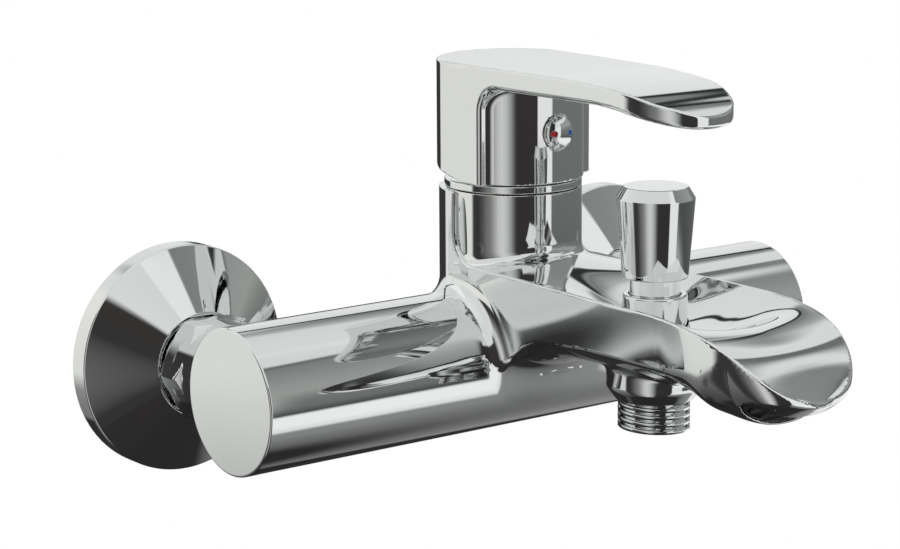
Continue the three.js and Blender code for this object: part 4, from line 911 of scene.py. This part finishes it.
def index_button(x, y, z):
    """A domed cap on a plug, with two pits for the enamel dots."""
    base = -HANDLE_FRONT_R - CLEAR
    flat = z - BUTTON_Z
    radius = np.hypot(x, flat)
    dome = np.sqrt((radius / BUTTON_R) ** 2 + (np.minimum(y - base, 0) / BUTTON_DOME) ** 2) - 1
    dome = np.maximum(dome * 3.2, y - base - 0.4)
    plug = np.maximum(radius - 3.4, slab(y, base - 0.1, BUTTON_HIGH[1]))
    pits = np.hypot(np.abs(x) - DOT_SPREAD, flat) - 0.95
    pits = np.maximum(pits, slab(y, -30, BUTTON_LOW[1] + 1.1))
    return rounded_cut(np.minimum(dome, plug), pits, 0.1)


# ---- Settings ----


class MixerSurfaceSettings(bpy.types.PropertyGroup):
    casting_spacing: FloatProperty(
        name="Casting spacing", description="Distance between the casting's vertices in its middle",
        default=0.92 * MM, min=0.4 * MM, unit="LENGTH")
    handle_spacing: FloatProperty(
        name="Handle spacing", description="Distance between the handle's vertices",
        default=0.6 * MM, min=0.3 * MM, unit="LENGTH")
    nut_spacing: FloatProperty(
        name="Nut spacing", description="Distance between a union nut's vertices",
        default=0.5 * MM, min=0.3 * MM, unit="LENGTH")
    turned_sides: IntProperty(
        name="Turned sides", description="Flats round a turned piece", default=128, min=24, max=256)


class MixerThreadSettings(bpy.types.PropertyGroup):
    crest_radius: FloatProperty(
        name="Crest radius", description="Radius over the shower thread's crests",
        default=(NIPPLE_HIGH[0] - NIPPLE_LOW[0]) / 2 * MM, unit="LENGTH")
    pitch: FloatProperty(
        name="Pitch", description="Distance from one crest to the next", default=2.1 * MM, unit="LENGTH")
    depth: FloatProperty(
        name="Depth", description="Height of the ridge over its root", default=1.16 * MM, unit="LENGTH")
    turns: FloatProperty(name="Turns", description="Turns of the ridge", default=3.6, min=1)


class MixerStudioSettings(bpy.types.PropertyGroup):
    floor_colour: FloatVectorProperty(
        name="Floor colour", description="Colour of the studio floor", subtype="COLOR", size=3,
        default=linear("#f4f4f3")[:3], min=0, max=1)
    floor_drop: FloatProperty(
        name="Floor drop", description="How far below the mixer the floor lies", default=0.42, unit="LENGTH")
    camera_place: FloatVectorProperty(
        name="Camera", description="Where the camera stands", subtype="XYZ", size=3, unit="LENGTH",
        default=(-0.48974, -0.67952, 0.18823))
    camera_heading: FloatProperty(
        name="Heading", description="Camera's turn from straight at the wall", unit="ROTATION",
        default=math.radians(36.996))
    camera_pitch: FloatProperty(
        name="Pitch", description="How far the camera looks down", unit="ROTATION",
        default=math.radians(11.782))
    camera_roll: FloatProperty(
        name="Roll", description="Camera's turn about its own line of sight", unit="ROTATION",
        default=math.radians(-0.328))
    camera_lens: FloatProperty(
        name="Lens", description="Focal length on a sensor 36 mm wide", default=106.87)


# ---- Operators ----
SIDES = (("left", -1), ("right", 1))


def spacing_of(context, setting):
    spacing = getattr(context.scene.mixer_surface, setting) / MM
    return spacing


class MIXER_OT_finish_solids(bpy.types.Operator):
    """Gives every solid of the frame the finish that its record names"""
    bl_idname = "mixer.finish_solids"
    bl_label = "Finish solids"

    def execute(self, context):
        slots = {part["node"]: part["material_slot"] for part in frame["record"]["subparts"]}
        for name, piece in frame["nodes"].items():
            piece.data.materials.clear()
            piece.data.materials.append(finish_of(slots[name]))
        return {"FINISHED"}


class MIXER_OT_casting(bpy.types.Operator):
    """Builds the body casting: tube, collar, spout, boss and inlet stubs as one filleted skin"""
    bl_idname = "mixer.casting"
    bl_label = "Body casting"

    def execute(self, context):
        grid = casting_grid(spacing_of(context, "casting_spacing"))
        stand_in("body_casting", "fixed_body", *skin(casting, grid))
        return {"FINISHED"}


class MIXER_OT_handle(bpy.types.Operator):
    """Builds the handle: leaf-shaped lever, side panels and hollow skirt"""
    bl_idname = "mixer.handle"
    bl_label = "Handle"

    def execute(self, context):
        grid = handle_grid(spacing_of(context, "handle_spacing"))
        stand_in("handle", "lever", *skin(handle, grid))
        return {"FINISHED"}


class MIXER_OT_button(bpy.types.Operator):
    """Builds the index button on the front of the handle"""
    bl_idname = "mixer.button"
    bl_label = "Index button"

    def execute(self, context):
        low, high = BUTTON_LOW - 0.6, BUTTON_HIGH + 0.6
        grid = [lines((low[n], high[n], 0.15)) for n in range(3)]
        stand_in("index_button", "lever", *skin(index_button, grid))
        return {"FINISHED"}


class MIXER_OT_union_nuts(bpy.types.Operator):
    """Builds the two union nuts behind the body tube"""
    bl_idname = "mixer.union_nuts"
    bl_label = "Union nuts"

    def execute(self, context):
        spacing = context.scene.mixer_surface.nut_spacing / MM
        reach = NUT_FLATS / math.sqrt(3) + 1
        grid = (
            lines((-reach, reach, spacing)),
            lines((NUT_LOW[1] - 0.8, NUT_HIGH[1] + 0.8, spacing)),
            lines((-reach, reach, spacing)),
        )
        points, faces, normals = skin(union_nut, grid)
        for word, side in SIDES:
            moved = points + [side * INLET_X, 0, 0]
            stand_in(f"{word}_union_nut", f"{word}_nut", moved, faces, normals)
        return {"FINISHED"}


class MIXER_OT_end_caps(bpy.types.Operator):
    """Builds the flat caps that close the body tube"""
    bl_idname = "mixer.end_caps"
    bl_label = "End caps"

    def execute(self, context):
        sides = context.scene.mixer_surface.turned_sides
        inner, face = CAP_LOW[0], CAP_HIGH[0]
        flange = face - 3
        over = TUBE_R + 0.03
        plug = TUBE_BORE_R - CLEAR
        groove = (inner + 3, inner + 5.4, plug - 2.4)
        corners = [
            (0, inner), (plug, inner, 0.4), (plug, groove[0]), (groove[2], groove[0]),
            (groove[2], groove[1]), (plug, groove[1]), (plug, flange), (TUBE_R - 0.4, flange),
            (TUBE_R - 0.4, flange - 1.2), (over, flange - 1.2, 0.02), (over, face, 0.7), (0, face),
        ]
        points, faces, normals = turned(corners, "x", (0, 0, 0), sides)
        for word, side in SIDES:
            mirror = [side, 1, 1]
            round_way = [face[::side] for face in faces]
            stand_in(f"{word}_end_cap", "fixed_body", points * mirror, round_way, normals * mirror)
        return {"FINISHED"}


class MIXER_OT_escutcheons(bpy.types.Operator):
    """Builds the wall plates: a hollow cone on a short cylindrical rim"""
    bl_idname = "mixer.escutcheons"
    bl_label = "Escutcheons"

    def execute(self, context):
        sides = context.scene.mixer_surface.turned_sides
        front, wall = ROSE_LOW[1], ROSE_HIGH[1]
        radius = ROSE_HIGH[2]
        rim = wall - 6.6
        neck, bore, thick = 15.9, 13.5, 1.6
        slant = 1.87  # keeps the cone's wall as thick as its rim, measured across
        corners = [
            (bore, front, 0.3), (bore, front + slant, 0.3), (radius - thick, rim + slant, 0.8),
            (radius - thick, wall, 0.3), (radius, wall, 0.4), (radius, rim, 0.8), (neck, front, 0.5),
        ]
        for word, side in SIDES:
            shape = turned(corners[::-1], "y", (side * INLET_X, 0, 0), sides, closed=True)
            stand_in(f"{word}_escutcheon", "fixed_body", *shape)
        return {"FINISHED"}


class MIXER_OT_trim_ring(bpy.types.Operator):
    """Builds the domed ring between collar and handle"""
    bl_idname = "mixer.trim_ring"
    bl_label = "Trim ring"

    def execute(self, context):
        foot, top = RING_LOW[2], RING_HIGH[2]
        edge = top - 1
        corners = [
            (16.8, foot, 0.2), (RING_HIGH[0], foot, 0.3), (RING_HIGH[0], edge, 0.5), (17.4, edge, 0.4),
            (15.6, top, 0.6), (11.6, top, 0.2), (11.6, top - 1.2, 0.2), (15.6, top - 1.2, 0.3),
        ]
        sides = context.scene.mixer_surface.turned_sides
        stand_in("trim_ring", "fixed_body", *turned(corners, "z", (0, 0, 0), sides, closed=True))
        return {"FINISHED"}


class MIXER_OT_diverter(bpy.types.Operator):
    """Builds the diverter's bonnet and its pull knob"""
    bl_idname = "mixer.diverter"
    bl_label = "Diverter"

    def execute(self, context):
        sides = context.scene.mixer_surface.turned_sides
        centre = (0, DIVERTER_Y, 0)
        foot, top = BONNET_LOW[2], BONNET_HIGH[2]
        seat, floor = 18 + CLEAR, 20.5
        bonnet = [
            (5.2, foot), (8, foot), (8, seat), (BONNET_HIGH[0], seat, 0.2), (BONNET_HIGH[0], top, 1.2),
            (7.55, top, 0.3), (7.55, floor), (2.3, floor), (2.3, floor - 2), (5.2, floor - 2),
        ]
        stand_in("diverter_bonnet", "fixed_body", *turned(bonnet, "z", centre, sides, closed=True))
        low, high = KNOB_LOW[2], KNOB_HIGH[2]
        stem_top = 50.6  # the stem's end inside the knob
        knob = [
            (0, stem_top), (2.3, stem_top), (2.3, low), (7.25, low, 0.3), (7.25, 33.6, 0.3), (9.4, 33.6, 0.5),
            (KNOB_HIGH[0], 56.3, 0.5), (9.15, high, 0.4), (0, high),
        ]
        stand_in("diverter_knob", "diverter", *turned(knob, "z", centre, sides))
        return {"FINISHED"}


SPRING_WIRE_R = 0.35
SPRING_TURNS = 3.5


def coiled(radius, low, high, turns, wire, around=10, steps=28):
    """A round wire wound up a helix about the diverter, with flat ends."""
    count = round(turns * steps)
    turn = np.linspace(0, 2 * math.pi * turns, count + 1)
    height = np.linspace(low + wire, high - wire, count + 1)
    middle = np.stack([radius * np.cos(turn), radius * np.sin(turn), height], 1)
    outward = np.stack([np.cos(turn), np.sin(turn), 0 * turn], 1)
    climb = (high - low - 2 * wire) / (2 * math.pi * turns)
    ahead = np.stack([-radius * np.sin(turn), radius * np.cos(turn), climb + 0 * turn], 1)
    ahead /= np.linalg.norm(ahead, axis=1)[:, None]
    upward = np.cross(outward, ahead)
    spin = np.arange(around) * 2 * math.pi / around
    normals = (
        outward[:, None] * np.cos(spin)[:, None] + upward[:, None] * np.sin(spin)[:, None]
    ).reshape(-1, 3)
    points = np.repeat(middle, around, axis=0) + wire * normals + [0, DIVERTER_Y, 0]
    faces = []
    for i in range(count):
        for j in range(around):
            k = (j + 1) % around
            a, b = i * around, (i + 1) * around
            faces.append([a + j, b + j, b + k, a + k])
    faces.append(list(range(around)))
    faces.append(list(range(count * around, (count + 1) * around))[::-1])
    return points, faces, normals


class MIXER_OT_diverter_spring(bpy.types.Operator):
    """Winds the diverter's return spring at one fixed length; the real spring closes up as the knob is lifted
    """
    bl_idname = "mixer.diverter_spring"
    bl_label = "Diverter spring"

    def execute(self, context):
        low, high = cad_box("diverter_spring")
        mean = (high[0] - low[0]) / 2 - SPRING_WIRE_R
        coil = coiled(mean, low[2], high[2], SPRING_TURNS, SPRING_WIRE_R)
        piece = stand_in("diverter_spring", "fixed_body", *coil, slot="steel")
        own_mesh(piece)
        return {"FINISHED"}


class MIXER_OT_shower_outlet(bpy.types.Operator):
    """Builds the threaded shower outlet: a turned nipple with a helical ridge"""
    bl_idname = "mixer.shower_outlet"
    bl_label = "Shower outlet"

    def execute(self, context):
        settings = context.scene.mixer_thread
        sides = context.scene.mixer_surface.turned_sides
        root = (settings.crest_radius - settings.depth) / MM
        top, foot = NIPPLE_HIGH[2], NIPPLE_LOW[2]
        shank = 8.4
        corners = [
            (6.4, top), (6.4, foot, 0.3), (root, foot, 0.4), (root, BOSS_FOOT - CLEAR, 0.2),
            (shank, BOSS_FOOT - CLEAR), (shank, top),
        ]
        shape = turned(corners, "z", (0, DIVERTER_Y, 0), sides, closed=True)
        stand_in("shower_outlet_nipple", "fixed_body", *shape)
        ridge = helical_ridge("shower_outlet_thread", settings, root * MM, finish_of("chrome"))
        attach(ridge, "fixed_body")
        return {"FINISHED"}


def helical_ridge(name, settings, root, material):
    """A thread's ridge from Geometry Nodes: a three-cornered section along a spiral, closed at its ends."""
    tree = bpy.data.node_groups.new(f"{name}_nodes", "GeometryNodeTree")
    for label in ("Radius", "Pitch", "Depth", "Turns", "Material"):
        kind = "NodeSocketMaterial" if label == "Material" else "NodeSocketFloat"
        tree.interface.new_socket(name=label, in_out="INPUT", socket_type=kind)
    tree.interface.new_socket(name="Mesh", in_out="OUTPUT", socket_type="NodeSocketGeometry")
    given = node(tree, "NodeGroupInput").outputs
    height = node(tree, "ShaderNodeMath", {0: given["Pitch"], 1: given["Turns"]}, operation="MULTIPLY")
    spiral = node(tree, "GeometryNodeCurveSpiral", {
        "Resolution": 72, "Rotations": given["Turns"], "Start Radius": given["Radius"],
        "End Radius": given["Radius"], "Height": height.outputs[0],
    })
    upright = node(tree, "GeometryNodeSetCurveNormal", {"Curve": spiral.outputs["Curve"]}, mode="Z_UP")
    section = node(tree, "GeometryNodeCurvePrimitiveCircle", {"Resolution": 3, "Radius": given["Depth"]})
    swept = node(tree, "GeometryNodeCurveToMesh", {
        "Curve": upright.outputs["Curve"], "Profile Curve": section.outputs["Curve"], "Fill Caps": True,
    })
    real = node(tree, "GeometryNodeRealizeInstances", {"Geometry": swept.outputs["Mesh"]})
    dressed = node(tree, "GeometryNodeSetMaterial", {
        "Geometry": real.outputs["Geometry"], "Material": given["Material"],
    })
    node(tree, "NodeGroupOutput", {"Mesh": dressed.outputs["Geometry"]})
    values = {
        "Radius": root + settings.depth * 0.5, "Pitch": settings.pitch, "Depth": settings.depth * 0.66,
        "Turns": settings.turns, "Material": material,
    }
    return made_by_nodes(name, tree, values, Vector((0, (DIVERTER_Y + AXIS_Y) * MM, -10.0 * MM)))


def made_by_nodes(name, tree, values, offset):
    """Runs a Geometry Nodes tree once and keeps its result as a plain mesh in the row frame."""
    carrier = linked(f"{name}_carrier", bpy.data.meshes.new(f"{name}_carrier"))
    modifier = carrier.modifiers.new("Shape", "NODES")
    modifier.node_group = tree
    for item in tree.interface.items_tree:
        if item.in_out == "INPUT":
            modifier[item.identifier] = values[item.name]
    carrier.update_tag()
    depsgraph = bpy.context.evaluated_depsgraph_get()
    depsgraph.update()
    mesh = bpy.data.meshes.new_from_object(carrier.evaluated_get(depsgraph))
    bpy.data.objects.remove(carrier)
    if not mesh.polygons:
        raise RuntimeError(f"the node tree of {name} made no faces")
    mesh.transform(Matrix.Translation(offset))
    made = bmesh.new()
    made.from_mesh(mesh)
    bmesh.ops.remove_doubles(made, verts=made.verts, dist=1e-7)
    bmesh.ops.recalc_face_normals(made, faces=made.faces)
    made.to_mesh(mesh)
    made.free()
    mesh.name = name
    return linked(name, mesh)


class MIXER_OT_stage(bpy.types.Operator):
    """Sets the studio: floor, painted reflecting dome, soft lamps, white world and camera"""
    bl_idname = "mixer.stage"
    bl_label = "Stage"

    def execute(self, context):
        settings = context.scene.mixer_studio
        floor_and_world(settings)
        dome()
        lamps()
        camera(settings)
        context.scene.view_settings.view_transform = "Standard"
        return {"FINISHED"}


FLOOR_HALF = 6.0
WORLD_GREY = "#c9cbcc"  # what the world lends to matt surfaces


def white_to_eyes(tree, other, white, output):
    """Shows plain white to the camera, and in metal and glass, and the other shader elsewhere."""
    paths = node(tree, "ShaderNodeLightPath").outputs
    seen = paths["Is Camera Ray"]
    for ray in ("Is Glossy Ray", "Is Transmission Ray"):
        seen = node(tree, "ShaderNodeMath", {0: seen, 1: paths[ray]}, operation="MAXIMUM").outputs[0]
    plain = node(tree, white, {"Color": (1, 1, 1, 1), "Strength": 1.0})
    mixed = node(tree, "ShaderNodeMixShader", {0: seen, 1: other.outputs[0], 2: plain.outputs[0]})
    node(tree, output, {"Surface": mixed.outputs[0]})


def floor_and_world(settings):
    low = CAD_BOX[0].z - settings.floor_drop
    half = FLOOR_HALF
    mesh = bpy.data.meshes.new("studio_floor")
    corners = [(-half, -half, low), (half, -half, low), (half, half, low), (-half, half, low)]
    mesh.from_pydata(corners, [], [(0, 1, 2, 3)])
    floor = linked("studio_floor", mesh)
    made, tree = new_material("matt_white_studio_paper")
    paper = node(tree, "ShaderNodeBsdfDiffuse", {"Color": hexed(settings.floor_colour)})
    white_to_eyes(tree, paper, "ShaderNodeEmission", "ShaderNodeOutputMaterial")
    mesh.materials.append(made)
    floor.visible_glossy = False

    world = bpy.data.worlds.new("white_studio")
    bpy.context.scene.world = world
    world.use_nodes = True
    world.node_tree.nodes.clear()
    soft = node(world.node_tree, "ShaderNodeBackground", {"Color": linear(WORLD_GREY), "Strength": 1.0})
    white_to_eyes(world.node_tree, soft, "ShaderNodeBackground", "ShaderNodeOutputWorld")


DOME_RADIUS = 1.6
DOME_SEAM = 210.0  # the dome's first and last bearing, where two panels of one shade overlap
# Shades up the dome behind all panels: height angle in degrees, colour
DOME_SHADES = [
    (-90, "#2a2829"), (-60, "#2f2e2f"), (-55, "#6c6c6c"), (-45, "#8c8c8c"), (-30, "#9a9a9a"),
    (-12, "#b8b9b7"), (2, "#d4d6d4"), (12, "#f0f2f1"), (50, "#e6e6e6"), (90, "#f6f6f6"),
]
# Panels round the mixer, each painted over the ones before: bearings in degrees clockwise from
# straight into the wall, height angles, softness of the edges, and the shades against the angle
PANELS = [
    ("wall_side_shadow", (-14, 50), (-62, 3), (5, 5), "height", [(-62, "#262526"), (3, "#3a3a3a")]),
    ("wall_side_gap", (38, 47), (-22, 6), (2, 6), "height", [(-22, "#c8c8c8"), (6, "#e4e4e4")]),
    ("wall_side_light", (325, 352), (33, 70), (8, 6), "height", [(33, "#ffffff"), (70, "#ffffff")]),
    ("left_softbox", (284, 348), (-62, 27), (4, 4), "height", [
        (-62, "#484848"), (-50, "#5a5a5a"), (-30, "#7a7a7a"), (-20.5, "#949593"), (-17, "#c2c3c0"),
        (-13, "#ebebe8"), (27, "#f8f7f2"),
    ]),
    ("camera_side", (196, 290), (-64, 32), (6, 8), "bearing", [
        (208, "#383637"), (213, "#3a3839"), (217, "#666666"), (223, "#a6a7a6"), (230, "#cccccb"),
        (236, "#d9d9d8"), (243, "#cdcdcc"), (250, "#a8a8a7"), (257, "#828282"), (263, "#747474"),
        (270, "#565555"), (278, "#393738"), (285, "#3c3a3b"), (290, "#4c4b4b"),
    ]),
    ("camera_flag", (178, 225), (-64, 27), (2.5, 4), "height", [(-64, "#302e2e"), (27, "#3c3838")]),
    ("right_softbox", (152, 178), (-18, 46), (2, 4), "height", [(-18, "#f4f4f4"), (46, "#fafafa")]),
    ("right_wall", (85, 152), (-16, 49), (3, 3), "height", [
        (-16, "#474947"), (-8, "#727472"), (0, "#7a7c7a"), (6, "#8a8c89"), (13, "#a4a5a2"),
        (22, "#a0a2a0"), (34, "#949694"), (45, "#868988"), (48.5, "#646664"), (49, "#5e605e"),
    ]),
    ("lip_light", (98, 112), (42, 60), (12, 8), "height", [(42, "#e4e6e4"), (60, "#f2f2f2")]),
    ("right_wing", (56, 88), (-16, 31), (5, 3), "height", [
        (-16, "#474947"), (-8, "#727472"), (31, "#8c918e"),
    ]),
    ("low_softbox", (58, 176), (-38, -17), (6, 4), "height", [
        (-38, "#e8e8e8"), (-30, "#ffffff"), (-17, "#ffffff"),
    ]),
    ("gantry_haze", (37, 64), (34, 48), (8, 5), "height", [
        (33, "#5e605e"), (38, "#8c8e8c"), (48, "#c4c6c4"),
    ]),
    ("gantry", (-28, 62), (31.8, 34.8), (6, 1.5), "height", [(31, "#343636"), (35, "#343636")]),
]


def shade(tree, factor, stops, low, high):
    """Colours against a value that runs from low to high."""
    share = node(tree, "ShaderNodeMapRange", {
        "Value": factor, "From Min": low, "From Max": high, "To Min": 0.0, "To Max": 1.0,
    }).outputs["Result"]
    return ramp(tree, share, [((at - low) / (high - low), colour) for at, colour in stops])


def band(tree, value, low, high, soft):
    """One between low and high, falling to nothing over the soft width outside."""
    middle, half = (low + high) / 2, (high - low) / 2
    off = node(tree, "ShaderNodeMath", {0: value, 1: middle}, operation="SUBTRACT").outputs[0]
    away = node(tree, "ShaderNodeMath", {0: off}, operation="ABSOLUTE").outputs[0]
    return node(tree, "ShaderNodeMapRange", {
        "Value": away, "From Min": half - soft / 2, "From Max": half + soft / 2,
        "To Min": 1.0, "To Max": 0.0,
    }, interpolation_type="SMOOTHSTEP").outputs["Result"]


def dome():
    """A painted dome round the mixer, which only polished surfaces see."""
    mesh = bpy.data.meshes.new("studio_dome")
    turns, rises = 72, 36
    vertices, places = [], []
    for j in range(rises + 1):
        lift = math.radians(-89.5 + 179 * j / rises)
        for i in range(turns + 1):
            bearing = math.radians(360 * i / turns + DOME_SEAM)
            flat = DOME_RADIUS * math.cos(lift)
            at = (flat * math.sin(bearing), flat * math.cos(bearing), DOME_RADIUS * math.sin(lift))
            vertices.append(at)
            places.append((math.degrees(bearing), math.degrees(lift)))
    faces = []
    for j in range(rises):
        for i in range(turns):
            a = j * (turns + 1) + i
            faces.append((a, a + turns + 1, a + turns + 2, a + 1))
    mesh.from_pydata(vertices, [], faces)
    mesh.transform(Matrix.Translation((0, AXIS_Y * MM, 0)))
    where = mesh.uv_layers.new(name="bearing")
    for loop in mesh.loops:
        where.data[loop.index].uv = places[loop.vertex_index]
    made, tree = new_material("painted_studio_dome")
    uv = node(tree, "ShaderNodeUVMap", uv_map="bearing").outputs["UV"]
    split = node(tree, "ShaderNodeSeparateXYZ", {"Vector": uv}).outputs
    colour = shade(tree, split["Y"], DOME_SHADES, -90, 90)
    for _, bearings, heights, soft, by, shades in PANELS:
        turn = 360 if bearings[0] < DOME_SEAM - 15 else 0
        across = band(tree, split["X"], bearings[0] + turn, bearings[1] + turn, soft[0])
        upward = band(tree, split["Y"], *heights, soft[1])
        both = node(tree, "ShaderNodeMath", {0: across, 1: upward}, operation="MULTIPLY").outputs[0]
        paint = shade(tree, split["Y" if by == "height" else "X"], shades, shades[0][0], shades[-1][0])
        colour = node(tree, "ShaderNodeMixRGB", {"Fac": both, "Color1": colour, "Color2": paint}).outputs[0]
    glow = node(tree, "ShaderNodeEmission", {"Color": colour, "Strength": 1.0})
    node(tree, "ShaderNodeOutputMaterial", {"Surface": glow.outputs[0]})
    mesh.materials.append(made)
    piece = linked("studio_dome", mesh)
    for ray in ("camera", "diffuse", "transmission", "volume_scatter", "shadow"):
        setattr(piece, f"visible_{ray}", False)


def lamps():
    """Two large soft lamps that light the matt pieces, unseen by the polished ones."""
    for name, spot, size, power in (
        ("soft_lamp_left", (-1.4, -1.0, 1.3), 1.2, 22), ("soft_lamp_top", (0.5, -0.6, 1.7), 1.4, 18),
    ):
        lamp = bpy.data.lights.new(name, "AREA")
        lamp.size = size
        lamp.energy = power
        holder = linked(name, lamp)
        holder.location = spot
        aim = Vector((0, AXIS_Y * MM, 0.02)) - Vector(spot)
        holder.rotation_euler = aim.to_track_quat("-Z", "Y").to_euler()
        holder.visible_glossy = False


def camera(settings):
    lens = bpy.data.cameras.new("camera")
    lens.sensor_width = 36
    lens.lens = settings.camera_lens
    lens.clip_start = 0.01
    lens.clip_end = 50
    holder = linked("camera", lens)
    heading, pitch, roll = settings.camera_heading, settings.camera_pitch, settings.camera_roll
    flat = math.cos(pitch)
    ahead = Vector((math.sin(heading) * flat, math.cos(heading) * flat, -math.sin(pitch)))
    level = Vector((math.cos(heading), -math.sin(heading), 0))
    up = level.cross(ahead)
    right = level * math.cos(roll) + up * math.sin(roll)
    up = up * math.cos(roll) - level * math.sin(roll)
    turn = Matrix((right, up, -ahead)).transposed()
    holder.matrix_world = Matrix.Translation(Vector(settings.camera_place)) @ turn.to_4x4()
    bpy.context.scene.camera = holder


class MIXER_PT_panel(bpy.types.Panel):
    """Lists the mixer's pieces in the order they are built"""
    bl_idname = "MIXER_PT_panel"
    bl_label = "Bath mixer"
    bl_space_type = "VIEW_3D"
    bl_region_type = "UI"
    bl_category = "Mixer"

    def draw(self, context):
        for operator in OPERATORS:
            self.layout.operator(operator.bl_idname)


OPERATORS = (
    MIXER_OT_finish_solids, MIXER_OT_casting, MIXER_OT_handle, MIXER_OT_button, MIXER_OT_union_nuts,
    MIXER_OT_end_caps, MIXER_OT_escutcheons, MIXER_OT_trim_ring, MIXER_OT_diverter,
    MIXER_OT_diverter_spring, MIXER_OT_shower_outlet, MIXER_OT_stage,
)
SETTINGS = (
    ("mixer_surface", MixerSurfaceSettings),
    ("mixer_thread", MixerThreadSettings),
    ("mixer_studio", MixerStudioSettings),
)


def register():
    for name, group in SETTINGS:
        bpy.utils.register_class(group)
        setattr(bpy.types.Scene, name, PointerProperty(type=group))
    for operator in OPERATORS:
        bpy.utils.register_class(operator)
    bpy.utils.register_class(MIXER_PT_panel)


def unregister():
    bpy.utils.unregister_class(MIXER_PT_panel)
    for operator in reversed(OPERATORS):
        bpy.utils.unregister_class(operator)
    for name, group in reversed(SETTINGS):
        delattr(bpy.types.Scene, name)
        bpy.utils.unregister_class(group)


def main():
    register()
    for operator in OPERATORS:
        space, name = operator.bl_idname.split(".")
        getattr(getattr(bpy.ops, space), name)()
    bpy.context.view_layer.update()


if __name__ == "__main__":
    main()
